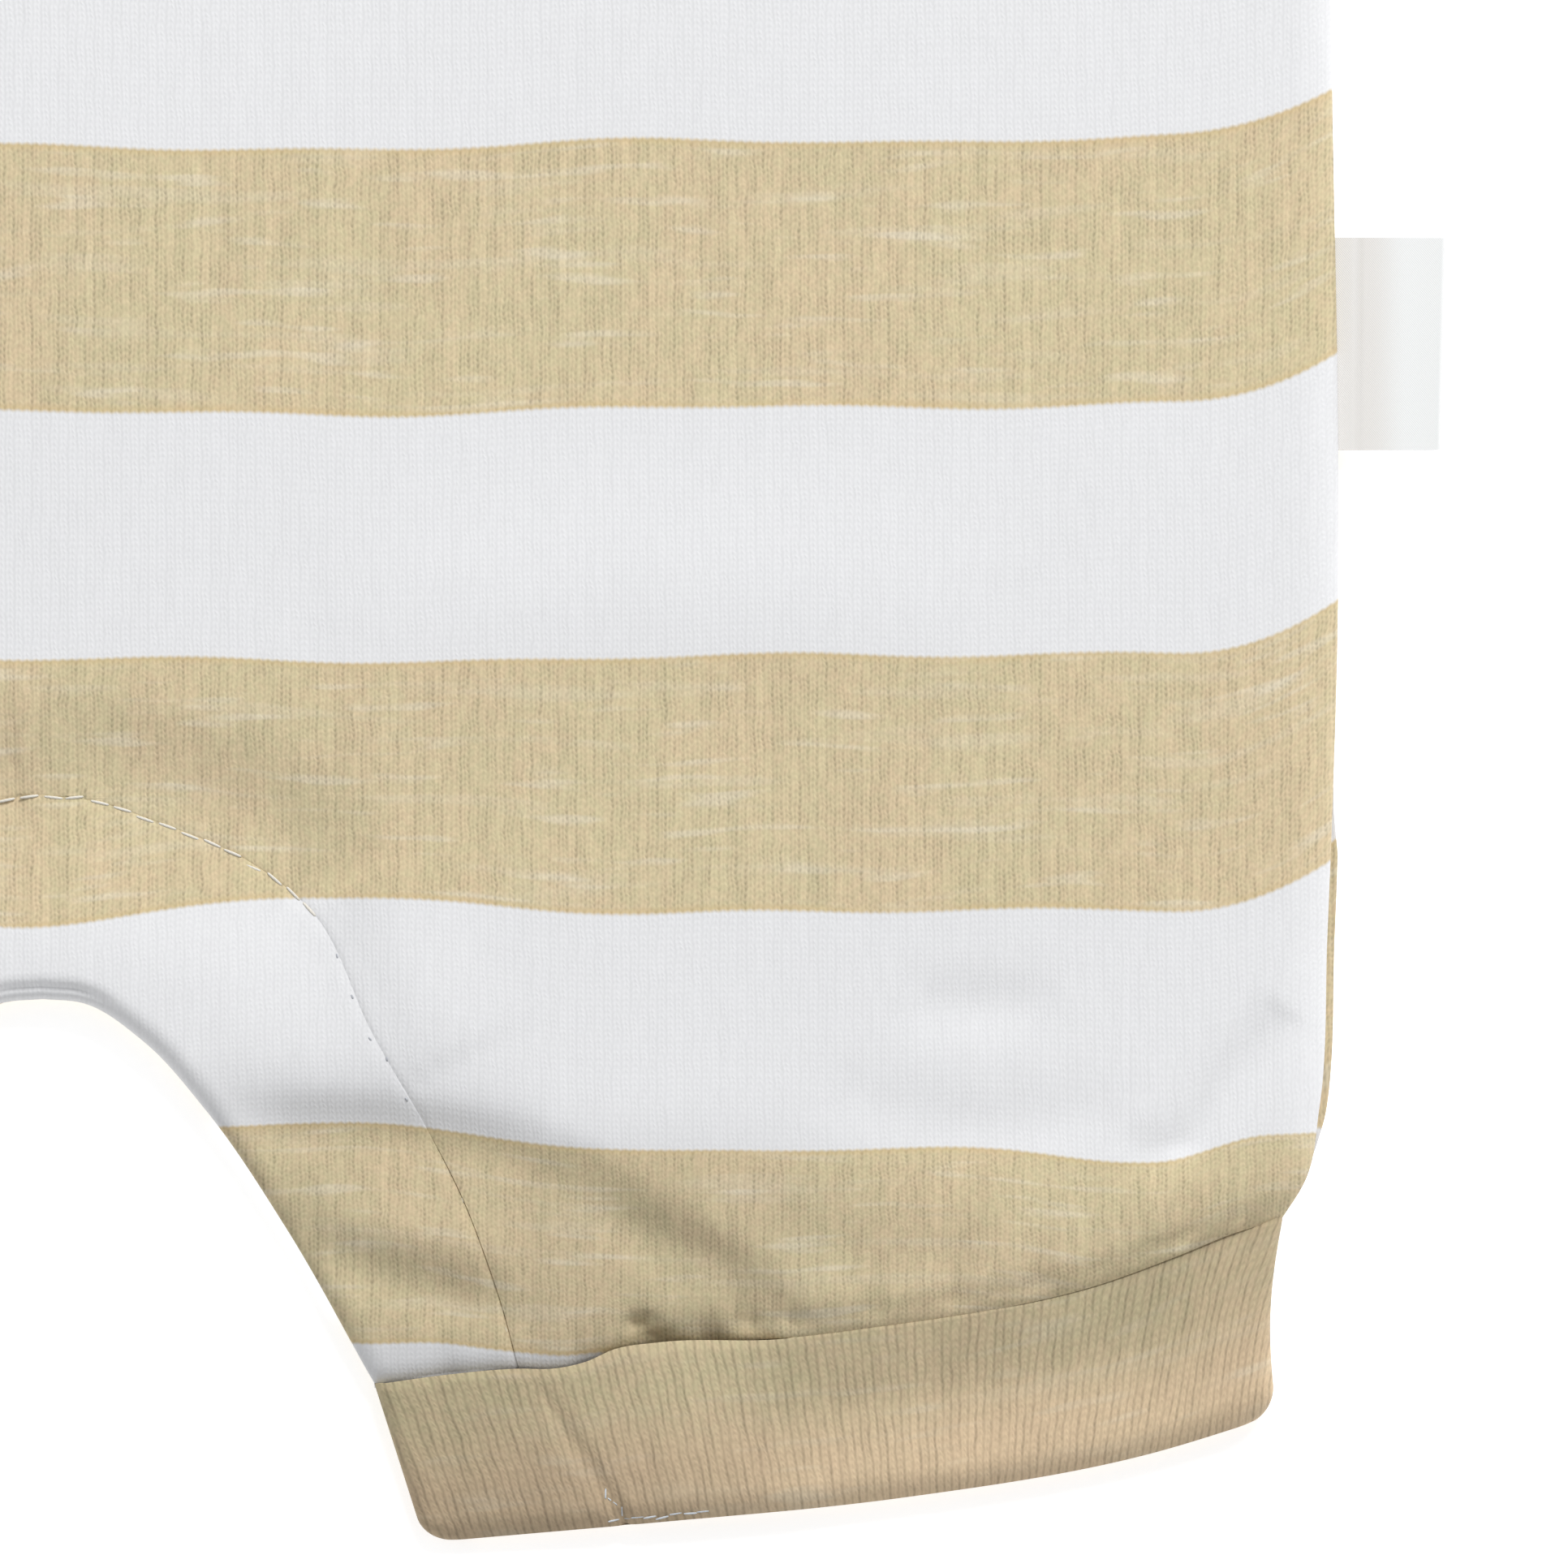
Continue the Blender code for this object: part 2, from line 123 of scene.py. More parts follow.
VIEW_WIDTH = 0.15456
VIEW_CENTRE = (0.0733, 0.02096)
lens_data = bpy.data.cameras.new("camera")
lens_data.lens = 200
lens_data.sensor_width = 36
camera = add_object("camera", lens_data)
camera.location = (VIEW_CENTRE[0], VIEW_CENTRE[1] + crotch_y,
                   LOFT + VIEW_WIDTH * lens_data.lens / lens_data.sensor_width)
bpy.context.scene.camera = camera
bpy.context.scene.view_settings.view_transform = "Standard"
print("camera height:", round(camera.location.z, 3))

# %% [markdown]
# ## Light and table
# A catalogue picture of baby clothes is lit almost evenly, so creases show as soft grey
# shades. A bright even sky does most of that, and one wide lamp from beyond the neck, a little
# to the right, gives the folds a lit and a shaded side. The table is white.

# %% Light
def area_light(name, place, aim, size, power):
    data = bpy.data.lights.new(name, "AREA")
    data.size = size
    data.energy = power
    lamp = add_object(name, data)
    lamp.location = place
    way = np.subtract(aim, place)
    flat = math.hypot(way[0], way[1])
    lamp.rotation_euler = (math.atan2(flat, -way[2]), 0, math.atan2(way[1], way[0]) - math.pi / 2)


world = bpy.data.worlds.new("even sky")
world.use_nodes = True
world.node_tree.nodes["Background"].inputs["Color"].default_value = (0.975, 0.985, 1.0, 1)
world.node_tree.nodes["Background"].inputs["Strength"].default_value = 0.50
bpy.context.scene.world = world
area_light("wide lamp", (0.62, 1.45, 1.30), (0.02, 0.0, 0), 0.8, 37.0)

# %% Table
table_mesh = bpy.data.meshes.new("table")
TABLE_REACH, TABLE_TOP = 3, -0.0004
table_mesh.from_pydata([(x * TABLE_REACH, y * TABLE_REACH, TABLE_TOP)
                        for x, y in ((-1, -1), (1, -1), (1, 1), (-1, 1))], [], [(0, 1, 2, 3)])
table = add_object("table", table_mesh)
table_finish = bpy.data.materials.new("white_table")
table_finish.use_nodes = True
table_shader = table_finish.node_tree.nodes["Principled BSDF"]
table_shader.inputs["Base Color"].default_value = (0.93, 0.93, 0.93, 1)
table_shader.inputs["Roughness"].default_value = 1.0
table_shader.inputs["Emission Color"].default_value = (1, 1, 1, 1)
table_shader.inputs["Emission Strength"].default_value = 0.55
table_mesh.materials.append(table_finish)

# %% [markdown]
# ## Curves of the pattern
# Every edge of the cut is a smooth curve through a few measured points, a Bezier curve, or a
# formula. Each function takes fractions of the way along and gives points.

# %% Curves
def steps(start, end, count):
    """The ends of count equal steps."""
    return np.linspace(start, end, count + 1)


def through(points, t):
    """A smooth curve through the points: a cubic Hermite piece between each two, whose
    tangents come from the points on both sides, at fractions t of the whole length."""
    points = np.asarray(points, float)
    t = np.atleast_1d(t)
    knots = np.concatenate(([0.0], np.cumsum(np.hypot(*np.diff(points, axis=0).T))))
    knots /= knots[-1]
    tangents = np.gradient(points, knots, axis=0)
    i = np.clip(np.searchsorted(knots, t, side="right") - 1, 0, len(knots) - 2)
    step = (knots[i + 1] - knots[i])[:, None]
    s = (t - knots[i])[:, None] / step
    return ((1 + 2 * s) * (1 - s) ** 2 * points[i] + s * (1 - s) ** 2 * step * tangents[i]
            + (3 - 2 * s) * s**2 * points[i + 1] + (s - 1) * s**2 * step * tangents[i + 1])


def between(start, end, t):
    t = np.atleast_1d(t)[:, None]
    return (1 - t) * np.asarray(start) + t * np.asarray(end)


def bezier(start, control, end, t):
    """A quadratic Bezier curve: lines to and from the control point, blended by t."""
    first, last = between(start, control, t), between(control, end, t)
    return first + np.atleast_1d(t)[:, None] * (last - first)


def unit(vectors):
    return vectors / np.linalg.norm(vectors, axis=-1, keepdims=True)


def mirrored_right(points):
    """The points as if all lay on the wearer's left: both halves share one pattern."""
    return np.stack([np.abs(points[..., 0]), points[..., 1]], axis=-1)


def run_along(route):
    """How far each point of a route lies from its first."""
    return np.concatenate(([0], np.cumsum(np.linalg.norm(np.diff(route, axis=0), axis=1))))


def joined(*stretches):
    return np.concatenate([stretches[0]] + [stretch[1:] for stretch in stretches[1:]])


def smooth(t):
    """0 below 0, 1 above 1, and 3tt - 2ttt between."""
    t = np.clip(t, 0, 1)
    return t * t * (3 - 2 * t)


def half_width(y):
    table = np.array(SIDE)
    return through(table, (y - table[0, 0]) / np.ptp(table[:, 0]))[:, 1]


def side(y):
    return np.stack([half_width(y), y], axis=1)


def centre(y):
    return np.stack([np.zeros_like(y), y], axis=1)


SHOULDER_ALONG = unit(np.subtract(SHOULDER_TIP, NECK_POINT))
SHOULDER_OUT = np.array([-SHOULDER_ALONG[1], SHOULDER_ALONG[0]])


def armhole(t):
    return bezier(ARMPIT, SHOULDER_TIP - ARMHOLE_SQUARE * SHOULDER_OUT, SHOULDER_TIP, t)


def front_neckline(t):
    """A quarter of an ellipse from the centre up to just inside the shoulder's fold."""
    top = np.array(NECK_POINT) - FRONT_SHOULDER_DROP * SHOULDER_OUT
    angle = t * math.pi / 2
    return np.stack([top[0] * np.sin(angle), top[1] - (top[1] - FRONT_NECK_LOW) * np.cos(angle)],
                    axis=1)


def back_neckline(t):
    x, y = NECK_POINT
    return np.stack([x * t, BACK_NECK_LOW + (y - BACK_NECK_LOW) * t**2], axis=1)


def lap_edge(t):
    return bezier(NECK_POINT, LAP_BULGE, armhole(LAP_REACH)[0] - (LAP_END_WIDTH, 0), t)


# %% [markdown]
# ## The drape
# Jersey that is smoothed flat keeps soft folds where it is gathered or turned: around the
# nappy gusset, above the leg cuffs and under the arms. Each fold is a trough or a ridge along
# a short route, whose depth fades at both ends and falls off to the sides like a bell curve.
# The other side of the garment has like folds, a little different, as a real one would.

# %% Folds
class Fold(NamedTuple):
    height: float
    half_width: float
    route: list


LEG_FOLDS = [
    Fold(-0.0010, 0.0038, [(0.0140, -0.0105), (0.0250, -0.0122), (0.0346, -0.0130), (0.049, -0.0150)]),
    Fold(-0.0005, 0.0022, [(0.0550, -0.0215), (0.0600, -0.0245), (0.0640, -0.0290)]),
    Fold(-0.0008, 0.0028, [(0.0235, -0.0225), (0.033, -0.0275), (0.0435, -0.0305), (0.050, -0.0325)]),
    Fold(0.0009, 0.0032, [(0.027, -0.0215), (0.036, -0.0232), (0.047, -0.0262)]),
    Fold(0.0008, 0.0050, [(0.031, 0.012), (0.040, -0.0066)]),
    Fold(-0.0008, 0.0024, [(0.107, -0.0165), (0.1125, -0.0148), (0.1180, -0.0075), (0.1225, -0.0010)]),
    Fold(0.0005, 0.0018, [(0.1122, -0.0150), (0.1115, -0.0195), (0.1108, -0.0240)]),
    Fold(-0.0008, 0.0042, [(0.070, -0.0230), (0.082, -0.0262), (0.096, -0.0255)]),
    Fold(-0.0004, 0.0035, [(0.076, -0.0090), (0.090, -0.0128), (0.108, -0.0112)]),
    Fold(-0.0004, 0.0030, [(0.085, -0.0010), (0.100, -0.0008)]),
    Fold(-0.0008, 0.0060, [(0.003, 0.0235), (0.016, 0.0210), (0.032, 0.0125)]),
    Fold(0.0006, 0.0095, [(0.028, 0.0360), (0.060, 0.0395), (0.095, 0.0370)]),
]
BODY_FOLDS = [
    Fold(-0.0009, 0.0060, [(0.120, 0.236), (0.098, 0.226), (0.072, 0.222)]),
    Fold(0.0005, 0.0050, [(0.122, 0.226), (0.104, 0.215), (0.086, 0.212)]),
    Fold(-0.0007, 0.0070, [(0.112, 0.262), (0.088, 0.276), (0.066, 0.282)]),
    Fold(0.0007, 0.0080, [(0.030, 0.296), (0.052, 0.310), (0.072, 0.322)]),
    Fold(-0.0004, 0.0060, [(0.020, 0.150), (0.050, 0.158), (0.086, 0.152)]),
    Fold(-0.0003, 0.0080, [(0.060, 0.196), (0.084, 0.176), (0.112, 0.168)]),
]


def other_side(fold, number):
    """The like fold on the other half: mirrored, and changed by up to a quarter."""
    change = np.random.default_rng(number).uniform(0.75, 1.2, 4)
    shift = (change[2:] - 1) * (0.010, 0.005)
    route = [(-x + shift[0], y + shift[1]) for x, y in fold.route]
    return Fold(fold.height * change[0], fold.half_width * change[1], route)


FOLDS = LEG_FOLDS + BODY_FOLDS
FOLDS = FOLDS + [other_side(fold, number) for number, fold in enumerate(FOLDS)]
print(len(FOLDS), "folds on the front")

# %% [markdown]
# ## Gathers
# The leg is wider than its cuff, so the machine puckers it along the seam. Each pucker is a
# short groove that runs up from the seam, and no two are alike. One small round pucker sits just
# above the seam, where the step in the leg's cloth meets the cuff.

# %% Gathers
class Gather(NamedTuple):
    place: float
    lean: float
    length: float
    half_width: float
    depth: float


GATHERS = [
    Gather(0.0598, -0.0008, 0.0030, 0.0012, 0.0012),
    Gather(0.0612, -0.0004, 0.0016, 0.0010, 0.0015),
    Gather(0.0662, -0.0002, 0.0030, 0.0009, 0.0016),
    Gather(0.0705, -0.0030, 0.0060, 0.0012, 0.0012),
    Gather(0.0748, -0.0035, 0.0070, 0.0012, 0.0017),
    Gather(0.0782, -0.0010, 0.0040, 0.0010, 0.0009),
    Gather(0.0820, -0.0005, 0.0060, 0.0011, 0.0013),
    Gather(0.0862, -0.0002, 0.0045, 0.0010, 0.0008),
    Gather(0.0901, 0.0000, 0.0070, 0.0012, 0.0013),
    Gather(0.0945, 0.0005, 0.0050, 0.0011, 0.0008),
    Gather(0.0981, 0.0005, 0.0075, 0.0012, 0.0012),
    Gather(0.1035, 0.0010, 0.0060, 0.0013, 0.0007),
    Gather(0.1080, 0.0012, 0.0055, 0.0012, 0.0007),
    Gather(0.1122, 0.0020, 0.0090, 0.0014, 0.0011),
    Gather(0.1175, 0.0020, 0.0045, 0.0014, 0.0005),
    Gather(0.0535, -0.0004, 0.0040, 0.0012, 0.0005),
    Gather(0.0400, -0.0005, 0.0040, 0.0015, 0.0003),
]

PUCKER_PLACE, PUCKER_RADIUS, PUCKER_DEPTH = (0.0591, -0.0321), 0.00085, 0.0015
OTHER_LEG_SHIFT = 0.0013
SETTLED_FROM, SETTLE_HEIGHT = 0.070, 0.0022


def seam_height(x):
    seam = through(CUFF_SEAM, steps(0, 1, 200))
    return np.interp(x, seam[:, 0], seam[:, 1])


def gather_depth(x, y):
    """Sum of grooves: a bell curve across each, fading with height above the seam. Those on the
    outer part of the leg settle to nothing at the seam itself."""
    up = y - seam_height(np.abs(x))
    depth = np.zeros_like(x)
    for gather in GATHERS:
        for hand in (1, -1):
            place = gather.place + (OTHER_LEG_SHIFT if hand < 0 else 0)
            across = hand * x - place - gather.lean * up / gather.length
            fade = np.exp(-(np.maximum(up, 0) / gather.length) ** 2 * 1.6)
            fade *= smooth(up / SETTLE_HEIGHT) if gather.place > SETTLED_FROM else 1
            depth += gather.depth * fade * np.exp(-(across / gather.half_width) ** 2)
    return depth


# %% [markdown]
# Beside the gusset the leg's cloth is caught short by the cuff, so above the seam it steps down
# to a lower level. The step runs from the inner leg, slanting down to the cuff.

# %% The leg's step
STEP_LINE = [(0.010, -0.0120), (0.034, -0.0122), (0.045, -0.0140), (0.0533, -0.0166),
             (0.0600, -0.0208), (0.0680, -0.0252), (0.0718, -0.0290), (0.0736, -0.0335),
             (0.0745, -0.0480)]
STEP_DROP = 0.0015
STEP_WIDTH_LEFT, STEP_WIDTH_CUFF = 0.0064, 0.0040


def leg_step(x, y):
    """A smooth step across the line: nothing above it, the whole drop below it."""
    line = through(STEP_LINE, steps(0, 1, 200))
    slope = np.gradient(line[:, 1], line[:, 0])
    above = (y - np.interp(np.abs(x), line[:, 0], line[:, 1]))
    above /= np.hypot(1, np.interp(np.abs(x), line[:, 0], slope))
    share = smooth((np.abs(x) - 0.014) / 0.012) * np.where(x > 0, 1.0, 0.85)
    tightened = smooth((np.abs(x) - 0.052) / 0.018)
    width = STEP_WIDTH_LEFT + (STEP_WIDTH_CUFF - STEP_WIDTH_LEFT) * tightened
    inside_leg = 1 - smooth((np.abs(x) - 0.0700) / 0.0045)
    return STEP_DROP * share * (1 - smooth(above / width + 0.5)) * inside_leg


# %% Height of the front
def nearest(points, curve, reach):
    """Distance of each point from a stepped curve, and the fraction along it: from its closest
    step, the point is projected on the two pieces that meet there. Points further than reach
    from the curve's box keep a distance of reach."""
    low, high = curve.min(axis=0) - reach, curve.max(axis=0) + reach
    near = np.all((points > low) & (points < high), axis=-1)
    apart = np.full(points.shape[:-1], reach)
    along = np.zeros(points.shape[:-1])
    if near.any():
        inside = points[near]
        gaps = inside[:, None] - curve[None]
        place = np.hypot(gaps[..., 0], gaps[..., 1]).argmin(axis=1)
        best = np.full(len(inside), reach)
        for back in (1, 0):
            start = np.clip(place - back, 0, len(curve) - 2)
            way, offset = curve[start + 1] - curve[start], inside - curve[start]
            t = np.clip((offset * way).sum(axis=1) / (way * way).sum(axis=1), 0, 1)
            best = np.minimum(best, np.linalg.norm(offset - t[:, None] * way, axis=1))
        apart[near] = best
        along[near] = place / (len(curve) - 1)
    return apart, along


def fold_height(points):
    """Each fold's height, times a bell curve across it, times the root of a half sine along."""
    total = np.zeros(points.shape[:-1])
    for fold in FOLDS:
        route = through(fold.route, steps(0, 1, 70))
        apart, along = nearest(points, route, 4 * fold.half_width)
        total += fold.height * np.sqrt(np.sin(math.pi * along)) * np.exp(-(apart / fold.half_width) ** 2)
    return total


def ripple(x, y):
    """A hand-smoothed sheet is never quite flat: a few long waves at odd angles."""
    return 0.00012 * (np.sin(x / 0.0160 + y / 0.031) + np.sin(y / 0.0123 - x / 0.045 + 1.3)
                      + 0.7 * np.sin(x / 0.0091 - y / 0.019 + 0.4))


def arch_valley(points, reach):
    """The seam over the crotch lies in a shallow valley, deepest at the top of the arch. It
    eases out over a distance of reach."""
    apart = nearest(mirrored_right(points), through(GUSSET_ARCH, steps(0, 1, 300)), reach)[0]
    depth = 0.0002 + 0.0010 * smooth((points[..., 1] + 0.006) / 0.016)
    return depth * (1 - smooth(apart / reach))


def front_height(points):
    """Height of the outer face of the front and the gusset at each (x, y).

    Loft, folds and puff rise from the rim along a quarter circle at the seamed edges, and sink
    to the neck's height near the neckline and under the shoulder laps. A crease follows the
    crotch, where the gusset folds over."""
    x, y = points[..., 0], points[..., 1]
    mirrored = mirrored_right(points)
    from_side = half_width(np.minimum(y.ravel(), ARMPIT[1])).reshape(x.shape) - np.abs(x)
    above_armpit = np.maximum(y - ARMPIT[1], 0)
    from_side = np.hypot(np.maximum(from_side, 0), above_armpit)
    from_crotch = nearest(mirrored, through(CROTCH_EDGE, steps(0, 1, 160)), CROTCH_ROUND)[0]
    crease = np.exp(-((from_crotch - CREASE_PLACE) / CREASE_WIDTH) ** 2)
    crease = crease * (1 - smooth((np.abs(x) - 0.003) / 0.006))
    inward = np.clip(np.minimum(from_side / EDGE_ROUND, from_crotch / CROTCH_ROUND), 0, 1)
    rounded = np.sqrt(1 - (1 - inward) ** 2)
    from_cuff = np.maximum(y - seam_height(np.abs(x)), 0)
    puff = CUFF_PUFF * from_cuff / CUFF_PUFF_PLACE * np.exp(1 - from_cuff / CUFF_PUFF_PLACE)
    loft = LOFT - RIM + puff + fold_height(points) + ripple(x, y)
    height = RIM + (loft - leg_step(x, y)) * rounded - gather_depth(x, y) * smooth(inward * 2)
    height -= CREASE_DEPTH * crease
    from_pucker = np.hypot(np.abs(x) - PUCKER_PLACE[0], y - PUCKER_PLACE[1])
    height -= PUCKER_DEPTH * np.exp(-(from_pucker / PUCKER_RADIUS) ** 2)
    height = np.maximum(height, LEAST_HEIGHT)

    from_neck = nearest(mirrored, front_neckline(steps(0, 1, 120)), NECK_RAMP)[0]
    lap = lap_edge(steps(0, 1, 80))
    over_lap = np.interp(mirrored[..., 0], lap[:, 0], lap[:, 1], left=1.0)
    from_lap = 0.6 * (over_lap - y) - BINDING_WIDTH - 0.002
    raised = np.minimum(smooth(from_neck / NECK_RAMP), smooth(from_lap / NECK_RAMP))
    return NECK_HEIGHT + (height - NECK_HEIGHT) * raised


# %% [markdown]
# ## How the stripes lie
# The stripes are knitted straight, so they belong to the cloth, not to the table. Each point
# keeps where it came from on the flat cloth: across, and up. The cloth is a little shortened
# by folds toward the leg, it climbs over the last 15 mm at the side seam, and it sags
# between the gusset and the middle of the leg.

# %% Cloth coordinates
STRIPE_REPEAT, STRIPE_BAND, STRIPE_START = 0.0512, 0.0268, 0.0578
CLOTH_ROWS = [(-0.060, -0.0742), (-0.0149, -0.0178), (0.0080, 0.0066), (0.0338, 0.0334),
              (0.0578, 0.0578), (0.40, 0.40)]
SAG_ROWS = [(-0.060, 0.0026), (-0.015, 0.0025), (0.008, 0.0017), (0.034, -0.0004), (0.085, -0.0006),
            (0.40, -0.0006)]
SIDE_CLIMB, SIDE_CLIMB_WIDTH = 0.0046, 0.0155


def cloth_place(points):
    """Where a point of the front lies on its flat cloth, (across, up)."""
    x, y = points[..., 0], points[..., 1]
    beside_seam = np.maximum(np.abs(x) - (ARMPIT[0] - SIDE_CLIMB_WIDTH), 0) / SIDE_CLIMB_WIDTH
    sag = np.interp(y, *np.array(SAG_ROWS).T) * (1 - smooth((np.abs(x) - 0.030) / 0.034))
    low = smooth((-0.004 - y) / 0.009)
    sag -= 0.0009 * low * np.exp(-((np.abs(x) - 0.1075) / 0.0105) ** 2)
    sag += 0.0007 * np.exp(-((np.abs(x) - 0.0560) / 0.0030) ** 2) * smooth((-0.029 - y) / 0.003)
    climb = SIDE_CLIMB * beside_seam**2 + 0.0006 * smooth((np.abs(x) - 0.080) / 0.030)
    climb += low * (0.0018 * smooth((np.abs(x) - 0.1100) / 0.0110) - climb)
    wander = 0.00025 * np.sin(x / 0.0105 + y / 0.04) + 0.00018 * np.sin(x / 0.0047 - y / 0.02)
    up = np.interp(y - sag - climb - wander, *np.array(CLOTH_ROWS).T)
    return np.stack([x, up], axis=-1)


def gusset_cloth_place(points):
    """As the front's, with the gusset's stripes bowed down at the centre and by its cuffs."""
    x, y = np.abs(points[..., 0]), points[..., 1]
    bow = 0.0029 * (1 - smooth(x / 0.026)) * smooth((y + 0.02) / 0.02)
    bow += 0.0010 * (1 - smooth((x - 0.031) / 0.010)) * smooth((-0.024 - y) / 0.006)
    return cloth_place(points + np.stack([np.zeros_like(bow), bow], axis=-1))


# %% [markdown]
# ## From a grid to a piece of cloth
# A piece is a grid of points on its outer face, with the flat cloth's coordinates in a UV map
# named cloth. Solidify gives it its thickness, inward, so the edges show as real cut edges.

# %% Making a piece
def quads(rows, columns, closed):
    index = np.arange(rows * columns).reshape(rows, columns)
    after = np.roll(index, -1, axis=1) if closed else index[:, 1:]
    here = index if closed else index[:, :-1]
    return np.stack([here[:-1], after[:-1], after[1:], here[1:]], axis=-1).reshape(-1, 4)


def with_height(points, height):
    height = np.broadcast_to(height, points.shape[:-1])
    return np.concatenate([points, height[..., None]], axis=-1)


def both_halves(points, place, flipped):
    """A half and its mirror image as two grids; flipped is the hand whose faces turn over."""
    return [(points * (hand, 1, 1), place * (hand, 1), hand == flipped) for hand in (1, -1)]


def merged_mesh(name, points, faces, places, material, within, closed_shapes=False):
    """A smooth mesh with its places in the UV map. Points that coincide are merged, and the
    faces of closed shapes are turned outward."""
    mesh = bpy.data.meshes.new(name)
    mesh.from_pydata((points + (0, crotch_y, 0)).tolist(), [], faces.tolist())
    mesh.uv_layers.new(name="cloth").data.foreach_set("uv", places[faces.ravel()].ravel())
    welded = bmesh.new()
    welded.from_mesh(mesh)
    bmesh.ops.remove_doubles(welded, verts=welded.verts, dist=within)
    if closed_shapes:
        bmesh.ops.recalc_face_normals(welded, faces=welded.faces)
    welded.to_mesh(mesh)
    welded.free()
    mesh.materials.append(material)
    mesh.shade_smooth()
    return mesh


def piece_of_cloth(name, grids, wall, material, node, closed=False):
    """grids holds (points, cloth places, flipped) for each stretch of the piece, which are
    merged where they meet, as along the centre line."""
    vertices, faces, places, count = [], [], [], 0
    for points, place, flipped in grids:
        grid = quads(points.shape[0], points.shape[1], closed)
        faces.append((grid[:, ::-1] if flipped else grid) + count)
        vertices.append(points.reshape(-1, 3))
        places.append(place.reshape(-1, 2))
        count += points.shape[0] * points.shape[1]
    vertices, faces, places = map(np.concatenate, (vertices, faces, places))
    mesh = merged_mesh(name, vertices, faces, places, material, 2e-6)
    edge_of_corner = np.empty(len(mesh.loops), int)
    mesh.loops.foreach_get("edge_index", edge_of_corner)
    cut_edge = np.bincount(edge_of_corner, minlength=len(mesh.edges)) == 1
    mesh.attributes.new("sharp_edge", "BOOLEAN", "EDGE").data.foreach_set("value", cut_edge)
    piece = add_object(name, mesh)
    thicken = piece.modifiers.new("Thickness of the cloth", "SOLIDIFY")
    thicken.thickness = wall
    thicken.offset = -1
    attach(piece, "root")
    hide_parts(node)
    print(name, len(faces), "faces")
    return piece


# %% [markdown]
# ## Shader parts
# Three effects make the cloth: the knit's stitches, the slub of its yarn, and the stripes.
# Each is a node group, so every material can use it with its own values. A small helper adds a
# node, sets it and links its inputs.

# %% Node helpers
def add_node(tree, kind, inputs=(), **settings):
    node = tree.nodes.new(kind)
    for name, value in settings.items():
        setattr(node, name, value)
    for number, value in enumerate(inputs):
        if isinstance(value, bpy.types.NodeSocket):
            tree.links.new(value, node.inputs[number])
        elif value is not None:
            node.inputs[number].default_value = value
    return node


def calculate(tree, operation, *values):
    return add_node(tree, "ShaderNodeMath", values, operation=operation).outputs[0]


def ease(tree, value, start, end):
    """0 at start, 1 at end, smooth between."""
    node = add_node(tree, "ShaderNodeMapRange", (value, start, end, 0.0, 1.0),
                    interpolation_type="SMOOTHSTEP")
    return node.outputs[0]


def noise(tree, vector, scale, detail):
    node = add_node(tree, "ShaderNodeTexNoise", noise_dimensions="2D")
    tree.links.new(vector, node.inputs["Vector"])
    node.inputs["Scale"].default_value = scale
    node.inputs["Detail"].default_value = detail
    return node.outputs["Fac"]


def vector_of(tree, x, y):
    return add_node(tree, "ShaderNodeCombineXYZ", (x, y)).outputs[0]


def parts_of(tree, vector):
    return add_node(tree, "ShaderNodeSeparateXYZ", (vector,)).outputs


def stretched(tree, place, across, up):
    """The place on the cloth, scaled by one number across and by another up."""
    return vector_of(tree, calculate(tree, "MULTIPLY", place[0], across),
                     calculate(tree, "MULTIPLY", place[1], up))


def start_group(name, inputs, outputs):
    """A new node group that takes the place on the cloth and the named numbers, and gives
    numbers too; returns the tree, its inputs and its output node."""
    tree = bpy.data.node_groups.new(name, "ShaderNodeTree")
    tree.interface.new_socket("Cloth", in_out="INPUT", socket_type="NodeSocketVector")
    for way, sockets in (("INPUT", inputs), ("OUTPUT", outputs)):
        for socket in sockets:
            tree.interface.new_socket(socket, in_out=way, socket_type="NodeSocketFloat")
    return tree, tree.nodes.new("NodeGroupInput").outputs, tree.nodes.new("NodeGroupOutput")


# %% [markdown]
# The face of jersey is columns of small V stitches. Across one column, two yarn legs stand up
# as ridges. Up the column, each stitch starts in the middle and rises outward, so the phase of
# the stitch depends on how far a point is from the column's middle. Where a valley and the end
# of a stitch meet, a dark dot shows.

